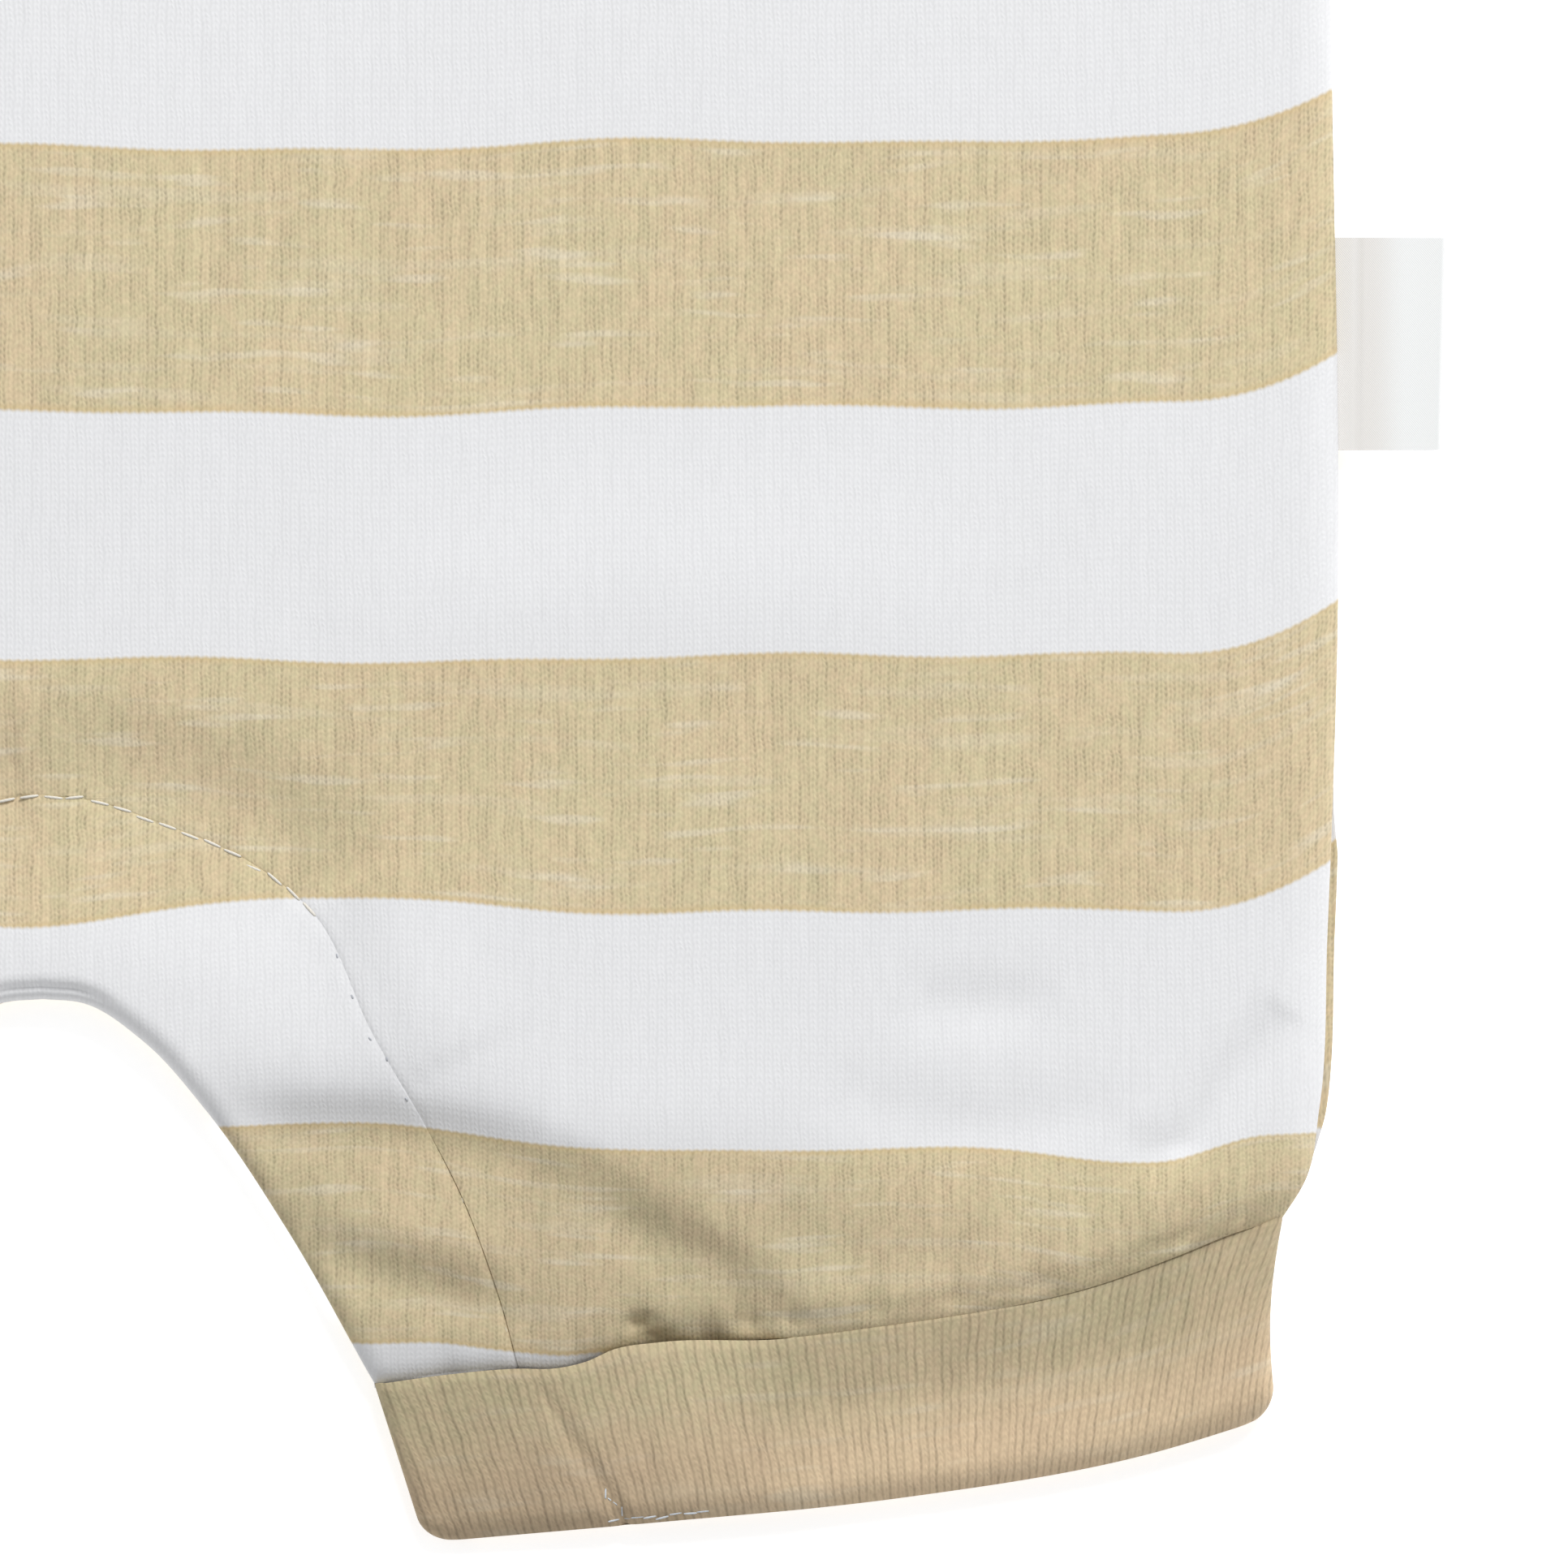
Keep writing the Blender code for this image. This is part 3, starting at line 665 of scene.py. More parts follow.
# %% The stitches of jersey
def make_stitches():
    tree, given, result = start_group("jersey stitches", ["Column", "Stitch", "Inner Valley", "Dots"],
                                      ["Height", "Gap"])
    place = parts_of(tree, given["Cloth"])
    wander = noise(tree, given["Cloth"], 420.0, 2.0)
    wander = calculate(tree, "MULTIPLY", calculate(tree, "SUBTRACT", wander, 0.5), 0.00052)
    across = calculate(tree, "ADD", place[0], wander)
    column = calculate(tree, "FRACT", calculate(tree, "DIVIDE", across, given["Column"]))
    turn = calculate(tree, "COSINE", calculate(tree, "MULTIPLY", column, 2 * math.pi))
    between_columns = calculate(tree, "POWER", calculate(tree, "MULTIPLY_ADD", turn, 0.5, 0.5), 2.6)
    inside_column = calculate(tree, "POWER", calculate(tree, "MULTIPLY_ADD", turn, -0.5, 0.5), 4.0)
    from_middle = calculate(tree, "ABSOLUTE", calculate(tree, "MULTIPLY_ADD", column, 2.0, -1.0))
    up = calculate(tree, "DIVIDE", calculate(tree, "ADD", place[1], wander), given["Stitch"])
    phase = calculate(tree, "MULTIPLY_ADD", from_middle, 0.62, up)
    beat = calculate(tree, "COSINE", calculate(tree, "MULTIPLY", phase, 2 * math.pi))
    bead = calculate(tree, "MULTIPLY_ADD", beat, 0.5, 0.5)
    valleys = calculate(tree, "MULTIPLY_ADD", inside_column, given["Inner Valley"], between_columns)
    height = calculate(tree, "MULTIPLY", calculate(tree, "SUBTRACT", 1.0, valleys),
                       calculate(tree, "MULTIPLY_ADD", bead, 0.45, 0.55))
    strength = ease(tree, noise(tree, stretched(tree, place, 900.0, 260.0), 1.0, 1.0), 0.20, 0.80)
    open_share = calculate(tree, "SUBTRACT", 1.0, calculate(tree, "MULTIPLY", bead, given["Dots"]))
    dots = calculate(tree, "MULTIPLY", valleys, open_share)
    gap = calculate(tree, "MULTIPLY", dots, calculate(tree, "MULTIPLY_ADD", strength, 0.9, 0.45))
    tree.links.new(height, result.inputs["Height"])
    tree.links.new(gap, result.inputs["Gap"])
    return tree


stitches_group = make_stitches()

# %% [markdown]
# Slub yarn is spun thick and thin on purpose. A thick stretch shows as a pale streak a stitch
# or two tall along the row, so the streaks come from noise that is long across the cloth and
# short up it. Wider, weaker noise gives the dye's uneven tone, and another one the
# columns that stand out darker.

# %% The slub of the yarn
def make_slub():
    tree, given, result = start_group("slub yarn", ["Column"],
                                      ["Streak", "Tone", "Fine Tone", "Column Tone", "Fuzz"])
    place = parts_of(tree, given["Cloth"])
    streak = ease(tree, noise(tree, stretched(tree, place, 85.0, 620.0), 1.0, 1.5), 0.58, 0.80)
    wide = noise(tree, stretched(tree, place, 48.0, 420.0), 1.0, 2.0)
    streak = calculate(tree, "MULTIPLY_ADD", ease(tree, wide, 0.54, 0.78), 0.5, streak)
    tall = vector_of(tree, place[0], calculate(tree, "MULTIPLY", place[1], 0.6))
    tone = calculate(tree, "MULTIPLY_ADD", noise(tree, tall, 62.0, 2.0), 0.6,
                     calculate(tree, "MULTIPLY", noise(tree, tall, 240.0, 2.0), 0.4))
    column = calculate(tree, "FLOOR", calculate(tree, "DIVIDE", place[0], given["Column"]))
    columns = noise(tree, vector_of(tree, calculate(tree, "MULTIPLY", column, 5.73),
                                    calculate(tree, "MULTIPLY", place[1], 60.0)), 1.0, 1.0)
    fuzz = noise(tree, given["Cloth"], 1500.0, 3.0)
    fine_tone = noise(tree, given["Cloth"], 900.0, 2.0)
    for socket, value in (("Streak", streak), ("Tone", tone), ("Fine Tone", fine_tone),
                          ("Column Tone", columns), ("Fuzz", fuzz)):
        tree.links.new(value, result.inputs[socket])
    return tree


slub_group = make_slub()

# %% [markdown]
# The stripes are knitted in: a khaki band, then a white one, at a steady repeat. A colour can
# only change at a row of stitches, so the edge of a band follows the small V of each column.

# %% The stripes
def make_stripes():
    tree, given, result = start_group("knitted stripes", ["Column"], ["Khaki", "Edge"])
    place = parts_of(tree, given["Cloth"])
    column = calculate(tree, "FRACT", calculate(tree, "DIVIDE", place[0], given["Column"]))
    notch = calculate(tree, "ABSOLUTE", calculate(tree, "MULTIPLY_ADD", column, 2.0, -1.0))
    up = calculate(tree, "MULTIPLY_ADD", notch, 0.00011, place[1])
    turns = calculate(tree, "DIVIDE", calculate(tree, "SUBTRACT", up, STRIPE_START), STRIPE_REPEAT)
    inside = calculate(tree, "MULTIPLY", calculate(tree, "FRACT", turns), STRIPE_REPEAT)
    rise = ease(tree, inside, 0.0, 0.0005)
    fall = ease(tree, inside, STRIPE_BAND, STRIPE_BAND - 0.0005)
    near_rise = ease(tree, inside, 0.0012, 0.0004)
    near_fall = ease(tree, inside, STRIPE_BAND - 0.0012, STRIPE_BAND - 0.0004)
    tree.links.new(calculate(tree, "MULTIPLY", rise, fall), result.inputs["Khaki"])
    tree.links.new(calculate(tree, "ADD", near_rise, near_fall), result.inputs["Edge"])
    return tree


stripes_group = make_stripes()

# %% [markdown]
# ## The cloth's finish
# The yarn's colours are set here. The dark gaps between stitches are strong in khaki and faint
# in white, which lets more light through. The same stitches drive the bump.

# %% Jersey
COLUMN, STITCH = 0.00088, 0.00064


def linear(red, green, blue):
    """A colour as picked on a screen, 0 to 255, as the renderer's linear one."""
    part = np.array([red, green, blue]) / 255
    return (*np.where(part <= 0.04045, part / 12.92, ((part + 0.055) / 1.055) ** 2.4), 1)


def blend_colours(tree, factor, first, second, mode="MIX"):
    node = add_node(tree, "ShaderNodeMix", data_type="RGBA", blend_type=mode)
    for socket, value in ((node.inputs[0], factor), (node.inputs[6], first), (node.inputs[7], second)):
        if isinstance(value, bpy.types.NodeSocket):
            tree.links.new(value, socket)
        else:
            socket.default_value = value
    return node.outputs[2]


def lit(tree, colour, light):
    """The colour times a grey."""
    grey = add_node(tree, "ShaderNodeCombineColor", (light, light, light)).outputs[0]
    return blend_colours(tree, 1.0, colour, grey, "MULTIPLY")


def add_bump(tree, shader, height, strength, distance):
    bump = add_node(tree, "ShaderNodeBump")
    bump.inputs["Strength"].default_value = strength
    bump.inputs["Distance"].default_value = distance
    tree.links.new(height, bump.inputs["Height"])
    tree.links.new(bump.outputs[0], shader.inputs["Normal"])


def place_on_cloth(tree):
    """The cloth's coordinates, whole and in parts: across, up."""
    cloth = add_node(tree, "ShaderNodeUVMap", uv_map="cloth").outputs[0]
    return cloth, parts_of(tree, cloth)


def start_finish(name, roughness, specular):
    """A new material with a dull Principled shader; gives it, its tree and its shader."""
    material = bpy.data.materials.new(name)
    material.use_nodes = True
    shader = material.node_tree.nodes["Principled BSDF"]
    shader.inputs["Roughness"].default_value = roughness
    shader.inputs["Specular IOR Level"].default_value = specular
    return material, material.node_tree, shader


def use_group(tree, group, cloth, column, stitch=None, inner_valley=None, dots=None):
    node = add_node(tree, "ShaderNodeGroup", node_tree=group)
    tree.links.new(cloth, node.inputs["Cloth"])
    node.inputs["Column"].default_value = column
    if stitch:
        node.inputs["Stitch"].default_value = stitch
        node.inputs["Inner Valley"].default_value = inner_valley
        node.inputs["Dots"].default_value = dots
    return node.outputs


WHITE_YARN = linear(235, 235, 236)
KHAKI_YARN, KHAKI_WARM, KHAKI_GREEN = linear(221, 205, 168), linear(227, 203, 167), linear(217, 205, 164)
KHAKI_SLUB, KHAKI_PINK = linear(236, 225, 200), linear(224, 197, 164)


def khaki_colour(tree, slub, blush, slubs):
    """Khaki yarn, warmer or greener from place to place, with pale slubs. Where blush is 1 it
    turns toward pink."""
    warm = blend_colours(tree, ease(tree, slub["Tone"], 0.38, 0.62), KHAKI_GREEN, KHAKI_WARM)
    fine = blend_colours(tree, ease(tree, slub["Fine Tone"], 0.36, 0.64), KHAKI_GREEN, KHAKI_WARM)
    middle = blend_colours(tree, 0.35, blend_colours(tree, 0.45, warm, fine), KHAKI_YARN)
    middle = blend_colours(tree, blush, middle, KHAKI_PINK)
    return blend_colours(tree, calculate(tree, "MULTIPLY", slub["Streak"], slubs), middle, KHAKI_SLUB)


def shaded(tree, colour, gap, depth, slub):
    """The colour, darker in the gaps, in some columns and by a little fuzz."""
    light = calculate(tree, "SUBTRACT", 1.0, calculate(tree, "MULTIPLY", gap, depth))
    columns = calculate(tree, "MULTIPLY_ADD", slub["Column Tone"], 0.5 * depth, 1 - 0.25 * depth)
    fuzz = calculate(tree, "MULTIPLY_ADD", slub["Fuzz"], 0.9 * depth, 1 - 0.45 * depth)
    light = calculate(tree, "MULTIPLY", light, calculate(tree, "MULTIPLY", columns, fuzz))
    return lit(tree, colour, light)


def jersey(name, striped=False, cuff=False, column=COLUMN, stitch=STITCH, gap_depth=0.31, bump=0.32,
           slubs=0.5, inner_valley=0.7, dots=0.55):
    """The finish of one jersey. Striped cloth has painted shade above the cuffs, where the leg is
    puckered; the cuffs' own jersey has painted shade beside their join, at their lower left and
    below their seam, and is pinker toward the fold."""
    material, tree, shader = start_finish(name, 0.92, 0.12)
    shader.inputs["Sheen Weight"].default_value = 0.06
    shader.inputs["Sheen Roughness"].default_value = 0.6
    cloth, (across, up, _) = place_on_cloth(tree)
    stitches = use_group(tree, stitches_group, cloth, column, stitch, inner_valley, dots)
    slub = use_group(tree, slub_group, cloth, column)
    blush = calculate(tree, "MULTIPLY", ease(tree, up, -0.003, -0.012), 0.75) if cuff else 0.0
    colour = shaded(tree, khaki_colour(tree, slub, blush, slubs), stitches["Gap"], gap_depth, slub)
    if striped:
        stripes = use_group(tree, stripes_group, cloth, column)
        edge = calculate(tree, "MULTIPLY", stripes["Edge"], 0.40)
        colour = blend_colours(tree, edge, colour, linear(214, 188, 138))
        white = shaded(tree, WHITE_YARN, stitches["Gap"], 0.06, slub)
        colour = blend_colours(tree, stripes["Khaki"], white, colour)
        # Painted shade: the striped cloth is up to 16% darker above the cuffs, toward the middle of the leg,
        # where the real cloth slopes down and lies in shade.
        near_middle = ease(tree, calculate(tree, "ABSOLUTE", across), 0.104, 0.060)
        gathered = calculate(tree, "MULTIPLY", ease(tree, up, -0.010, -0.024), near_middle)
        painted_shade = calculate(tree, "MULTIPLY", gathered, 0.16)
    elif cuff:
        # Painted shade on the cuffs: a little darker all over and more toward the join's end, darker at the
        # lower left, and darkest in a band just below the seam, where the body's edge shades the cuff.
        beside_join_shade = calculate(tree, "MULTIPLY_ADD", ease(tree, across, 0.050, 0.008), 0.24, 0.04)
        low_left_shade = calculate(tree, "MULTIPLY", ease(tree, across, 0.046, 0.030),
                             ease(tree, up, -0.007, -0.014))
        beside_seam = calculate(tree, "MULTIPLY", ease(tree, up, -0.0140, -0.0040),
                                ease(tree, across, 0.030, 0.042))
        painted_shade = calculate(tree, "MULTIPLY_ADD", low_left_shade, 0.07, beside_join_shade)
        painted_shade = calculate(tree, "MULTIPLY_ADD", beside_seam, 0.21, painted_shade)
    else:
        painted_shade = 0.0
    # The painted shade darkens the colour here.
    colour = lit(tree, colour, calculate(tree, "SUBTRACT", 1.0, painted_shade))
    tree.links.new(colour, shader.inputs["Base Color"])
    relief = calculate(tree, "MULTIPLY_ADD", slub["Streak"], 0.10, stitches["Height"])
    add_bump(tree, shader, relief, bump, 0.00012)
    return material


striped_jersey = jersey("striped_jersey", striped=True)
cuff_jersey = jersey("cuff_jersey", cuff=True, column=0.00090, stitch=0.00066, bump=0.45, slubs=0.25,
                     inner_valley=0.25, dots=0.30)
binding_jersey = jersey("binding_jersey", gap_depth=0.32)

# %% [markdown]
# ## Front
# The front is one piece from the shoulders to the cuffs. Each half is a Coons patch: rows run
# from the inner edge (the gusset's arch, the centre line, the neckline) to the outer one (the
# side, the armhole), and the lowest row follows the cuff's seam. Rows and columns crowd
# together near the seams, where the cloth turns down.

# %% Front
def crowded(count, crowd_start=0.0, crowd_end=0.0):
    """Fractions from 0 to 1, closer together at the ends that are given a crowd."""
    t = steps(0, 1, count)
    return t + np.sin(math.pi * t) / math.pi * (crowd_end * t - crowd_start * (1 - t))


def patch(left, right, bottom, columns):
    up = steps(0, 1, len(left) - 1)[:, None, None]
    across = columns[None, :, None]
    ruled = (1 - across) * left[:, None] + across * right[:, None]
    return ruled + (1 - up) ** 3 * (bottom[None] - ruled[0][None])


LEG_ROWS = crowded(100, crowd_start=0.9, crowd_end=0.6)


def front_half():
    leg, body = LEG_ROWS, crowded(104, crowd_start=0.85)
    low, peak, level = SIDE[0][0], GUSSET_ARCH[0][1], 0.022
    left = joined(through(GUSSET_ARCH, 1 - leg), centre(peak + (ARMPIT[1] - peak) * body),
                  centre(steps(ARMPIT[1], FRONT_NECK_LOW, 24)), front_neckline(steps(0, 1, 34)))
    right = joined(side(low + (level - low) * leg), side(level + (ARMPIT[1] - level) * body),
                   armhole(steps(0, 0.4, 24)), armhole(steps(0.4, 0.97, 34)))
    columns = crowded(80, crowd_start=0.6, crowd_end=0.9)
    bottom = between(left[0], right[0], columns)
    bottom[:, 1] = seam_height(bottom[:, 0])
    bottom[[0, -1]] = left[0], right[0]
    return patch(left, right, bottom, columns)


def rolled_edge(distance, radius, depth):
    """How far the cloth has turned down at a distance from its seam: the square of what is
    left of the radius."""
    return depth * (1 - np.clip(distance / radius, 0, 1)) ** 2


def front_is_under(y):
    """Over the crotch the gusset's edge lies on the front's; lower down the front's lies on the
    gusset's. 1 where the front is the lower one."""
    return smooth((y + 0.0105) / 0.003)


TUCK_REACH, TUCK_DROP = 0.0004, 0.0003
UNDER_CUFF = 0.0005


def tuck(points, height, place, rows, under):
    """Adds a column before the first: on the given rows the cloth goes on under its neighbour,
    a little further and lower, so no gap opens along the seam."""
    under = np.pad(under, (0, len(points) - len(under)))
    along = unit(np.gradient(points[:rows, 0], axis=0))
    edge = points[:, 0].copy()
    edge[:rows] += TUCK_REACH * under[:rows, None] * np.stack([-along[:, 1], along[:, 0]], axis=1)
    return (np.concatenate([edge[:, None], points], axis=1),
            np.concatenate([height[:, :1] - TUCK_DROP * under[:, None], height], axis=1),
            np.concatenate([place[:, :1], place], axis=1))


def make_front():
    half = front_half()
    arch = through(GUSSET_ARCH, steps(0, 1, 400))
    from_arch = nearest(half, arch, 0.004)[0]
    from_cuff = np.maximum(half[..., 1] - seam_height(half[..., 0]), 0)
    proud = smooth((half[..., 0] - 0.068) / 0.010)
    sunk = smooth((half[..., 0] - 0.055) / 0.006) * (1 - proud)
    grids = []
    for hand in (1, -1):
        points = half * (hand, 1)
        height = front_height(points) - arch_valley(points, 0.0120)
        height -= rolled_edge(from_arch, 0.0009, 0.00012)
        height -= sunk * rolled_edge(from_cuff, 0.0034, 0.0006)
        height -= (1 - sunk - proud) * rolled_edge(from_cuff, 0.0020, 0.0004)
        height -= proud * rolled_edge(from_cuff, 0.0038, 0.0012)
        place = cloth_place(points)
        under_cuff = 1 - smooth((half[0, :, 0] - 0.066) / 0.006)
        half_points = half.copy()
        half_points[0, :, 1] -= UNDER_CUFF * under_cuff
        height[0] -= UNDER_CUFF * under_cuff
        under = front_is_under(half[:len(LEG_ROWS), 0, 1])
        half_points, height, place = tuck(half_points, height, place, len(LEG_ROWS), under)
        grids.append((with_height(half_points * (hand, 1), height), place, hand < 0))
    return piece_of_cloth("front_cloth", grids, CLOTH, striped_jersey, "front_panel")


front = make_front()

# %% [markdown]
# ## Nappy gusset
# The gusset widens the seat between the legs. It is a strip that runs from one cuff over the
# crotch to the other. Over the crotch its edge lies on the front's; down the legs, where the
# seam is pressed the other way, it dips under the front's edge.

# %% Gusset
def gusset_height(points):
    half = mirrored_right(points)
    from_arch = nearest(half, through(GUSSET_ARCH, steps(0, 1, 400)), 0.006)[0]
    from_cuff = np.maximum(half[..., 1] - seam_height(half[..., 0]), 0)
    height = front_height(points) - arch_valley(points, 0.0180)
    lower = smooth((-0.0120 - points[..., 1]) / 0.006)
    height -= rolled_edge(from_arch, 0.0013, 0.00010) + lower * rolled_edge(from_arch, 0.0013, 0.0002)
    return height - rolled_edge(from_cuff, 0.0020, 0.0004) * (half[..., 0] > 0.030)


def make_gusset():
    along = crowded(130, crowd_end=0.8)
    inner, outer = through(CROTCH_EDGE, along), through(GUSSET_ARCH, along)
    across = crowded(34, crowd_start=0.8, crowd_end=0.7)[None, :, None]
    half = (1 - across) * inner[:, None] + across * outer[:, None]
    grids = []
    for hand in (1, -1):
        height, place = gusset_height(half * (hand, 1)), gusset_cloth_place(half * (hand, 1))
        lying, end = half.copy(), half[-1, :, 0] > 0.030
        lying[-1, end, 1] -= UNDER_CUFF
        height[-1, end] -= UNDER_CUFF
        under = 1 - front_is_under(outer[:, 1])
        lying, height, place = tuck(lying[:, ::-1], height[:, ::-1], place[:, ::-1], len(outer), under)
        grids.append((with_height(lying * (hand, 1), height), place, hand < 0))
    return piece_of_cloth("gusset_cloth", grids, CLOTH, striped_jersey, "crotch_gusset")


gusset = make_gusset()

# %% [markdown]
# ## Back, with its shoulder laps
# The back lies flat on the table. At each shoulder it folds over to the front as a lap, which
# lets the neck open wide for the baby's head. Here the rows run up the back, round the half
# circle of the fold, and down the lap.

# %% Back
def shoulder_fold(row, radius, turns):
    angles = steps(0, math.pi, turns)[:, None, None]
    points = row[None] + radius * np.sin(angles) * SHOULDER_OUT
    return with_height(points, radius * (1 - np.cos(angles[..., 0])))


def back_half():
    columns = crowded(54, crowd_end=0.7)
    leg = steps(0, 1, 40)
    low, crotch = SIDE[0][0], CROTCH_EDGE[0][1]
    left = joined(through(CROTCH_EDGE, 1 - leg), centre(steps(crotch, ARMPIT[1], 60)),
                  centre(steps(ARMPIT[1], BACK_NECK_LOW, 26)), back_neckline(steps(0, 1, 22)))
    right = joined(side(low + (0.010 - low) * leg), side(steps(0.010, ARMPIT[1], 60)),
                   armhole(steps(0, 0.4, 26)), armhole(steps(0.4, 1, 22)))
    lying = with_height(patch(left, right, through(CUFF_SEAM, columns), columns), 0)
    turned = shoulder_fold(lying[-1, :, :2], LAP_HEIGHT / 2, 10)
    lap = patch(lap_edge(steps(0, 1, 26)), armhole(steps(1, LAP_REACH, 26)), turned[-1, :, :2], columns)
    return lying, turned[1:], with_height(lap, LAP_HEIGHT)[1:]


def peeking(points):
    """The back's side edge lies up to a millimetre further out than the front's beside the
    lowest white stripe, so a strip of it shows."""
    x, y = points[..., 0], points[..., 1]
    out = 0.0008 * smooth((x / half_width(y.ravel()).reshape(y.shape) - 0.9) / 0.1)
    shift = out * smooth((y + 0.0170) / 0.006) * (1 - smooth((y - 0.0130) / 0.008))
    return points + np.stack([shift, np.zeros_like(x)] + [np.zeros_like(x)] * (points.shape[-1] - 2), axis=-1)


def make_back():
    lying, turned, lap = back_half()
    lying = peeking(lying)
    points = np.concatenate([lying, turned, lap])
    flat_place = cloth_place(lying[..., :2])
    extra = np.concatenate([turned, lap])
    beyond = np.linalg.norm(np.diff(np.concatenate([lying[-1:], extra]), axis=0), axis=-1).cumsum(axis=0)
    lap_place = np.stack([extra[..., 0], flat_place[-1][None, :, 1] + beyond], axis=-1)
    place = np.concatenate([flat_place, lap_place]) + (0, 0.0245)
    return piece_of_cloth("back_cloth", both_halves(points, place, 1), CLOTH, striped_jersey,
                          "back_panel")


back = make_back()

# %% [markdown]
# ## Leg cuffs
# A cuff is a strip folded double, joined into a ring and sewn to the gathered leg. Lying flat
# it is a pressed tube, so each ring of points is a stadium: a straight run over the top, half a
# circle round each fold, and a straight run underneath. Its columns of stitches fan out.

# %% Cuffs
def stadium(width, height, top_steps, turn_steps, near, far):
    """Across and up for points round a pressed tube; near and far are how far the half circles
    reach along the section at its two folds."""
    turn = np.radians(steps(-90, 90, turn_steps))
    radius = height / 2
    rise = radius * (1 + np.sin(turn))
    top = steps(near, width - far, top_steps)[1:-1]
    across = np.concatenate([width - far * (1 - np.cos(turn)), top[::-1],
                             near * (1 - np.cos(turn[::-1])), top])
    up = np.concatenate([rise, np.full(len(top), height), rise[::-1], np.zeros(len(top))])
    upper = np.concatenate([np.ones(len(turn) + len(top)), np.ones(len(turn)), np.zeros(len(top))])
    return across, up, upper


def pressed_tube(first, last, height, stations, corner, top_steps):
    """Rings from the first section to the last, and for each point its fraction across and
    whether it is on the upper side. The last rings draw in along a quarter circle, so the far
    corners are rounded."""
    ends = np.array([0.0, 1.0])
    folds = unit(last(ends) - first(ends))
    depth = np.linalg.norm(last(ends) - first(ends), axis=1).mean()
    rings, fractions, uppers = [], [], []
    for station in stations:
        chord = np.diff((1 - station) * first(ends) + station * last(ends), axis=0)[0]
        width = np.linalg.norm(chord)
        squareness = np.abs(folds[:, 0] * chord[1] - folds[:, 1] * chord[0]) / width
        across, up, upper = stadium(width, height, top_steps, 10, *(height / 2 / squareness))
        across = across / width
        into_corner = np.clip(1 - (1 - station) * depth / corner, 0, 1) if corner else 0.0
        inset = corner / width * (1 - math.sqrt(1 - into_corner**2))
        across = 0.5 + (across - 0.5) * (1 - 2 * inset)
        rings.append(with_height((1 - station) * first(across) + station * last(across), up))
        fractions.append(across)
        uppers.append(upper)
    return np.array(rings), np.array(fractions), np.array(uppers)


CUFF_DEPTH, CUFF_ROUND = 0.0165, 0.0905


def cuff_join(down):
    """Where the cuff's own join lies across it, as a fraction, at each fraction down."""
    return 0.165 + 0.070 * down


def cuff_dip(fraction, down):
    """How far the cuff's upper face lies below its full height: turned down at the seam and
    the fold, lower under the body's overhang, grooved at its join, and sloping off beyond it
    toward the inner leg."""
    from_seam = down * CUFF_DEPTH
    beside_body = smooth((fraction - 0.41) / 0.10)
    dip = rolled_edge(from_seam, 0.0012, 0.0003) * (1 - beside_body)
    dip += rolled_edge(CUFF_DEPTH - from_seam, 0.0026, 0.0013)
    shallow = 1 - 0.75 * smooth((fraction - 0.76) / 0.18)
    dip += beside_body * (0.0007 * (1 - smooth(from_seam / 0.010)) + shallow * 0.0009
                          * (smooth(from_seam / 0.0075) - 0.7 * smooth((from_seam - 0.0065) / 0.0070)))
    dip += 0.0007 * down**0.5 * np.exp(-((fraction - cuff_join(down)) / 0.008) ** 2)
    dip += 0.0011 * (1 - smooth(fraction / 0.34)) * down
    wave = np.sin(fraction * 31 + down) * smooth((fraction - 0.3) * 5)
    return dip + 0.00025 * (1 + wave) * np.sin(math.pi * down)


def make_cuff(name, node, hand):
    def seam(t):
        return through(CUFF_SEAM, t) - (0, 0.00003)

    def fold(t):
        return through(CUFF_FOLD, t)

    stations = crowded(44, crowd_start=0.7, crowd_end=0.85)
    rings, fraction, upper = pressed_tube(seam, fold, CUFF_HEIGHT, stations, CUFF_CORNER, 130)
    down = np.broadcast_to(stations[:, None], fraction.shape)
    rings[..., 2] *= 1 - cuff_dip(fraction, down) / CUFF_HEIGHT
    under_body = smooth((rings[0, :, 0] - 0.0735) / 0.003) * (rings[0, :, 2] > 0.0015)
    rings[0, :, 1] += TUCK_REACH * under_body
    rings[0, :, 2] -= TUCK_DROP * under_body
    rings[..., 0] -= 0.0009 * np.sin(math.pi * down) * smooth((fraction - 0.85) / 0.15)
    lean = 0.0020 * (fraction - 0.5) + 0.0085 * np.maximum(fraction - 0.5, 0)
    across = fraction * CUFF_ROUND + lean * down
    place = np.stack([np.where(upper > 0, across, 2 * CUFF_ROUND - across), -down * CUFF_DEPTH], axis=-1)
    return piece_of_cloth(name, [(rings * (hand, 1, 1), place, hand < 0)], CUFF_WALL, cuff_jersey,
                          node, closed=True)


cuffs = [make_cuff("cuff_cloth_left", "leg_cuff_left", 1),
         make_cuff("cuff_cloth_right", "leg_cuff_right", -1)]

# %% [markdown]
# ## Sleeves
# A sleeve is a tube with a seam under the arm. Its stripes run round the arm, so its cloth
# coordinates go up from the hem. The hem is turned under and topstitched.

# %% Sleeves
hem_way = unit(np.subtract(SLEEVE_HEM_TOP, SLEEVE_HEM_UNDER))
hem_out = np.array([hem_way[1], -hem_way[0]])


def hem(t):
    """A line from fold to fold, bowed outward as a parabola."""
    bow = (4 * t * (1 - t) * SLEEVE_HEM_BOW)[:, None] * hem_out
    return between(SLEEVE_HEM_UNDER, SLEEVE_HEM_TOP, t) + bow


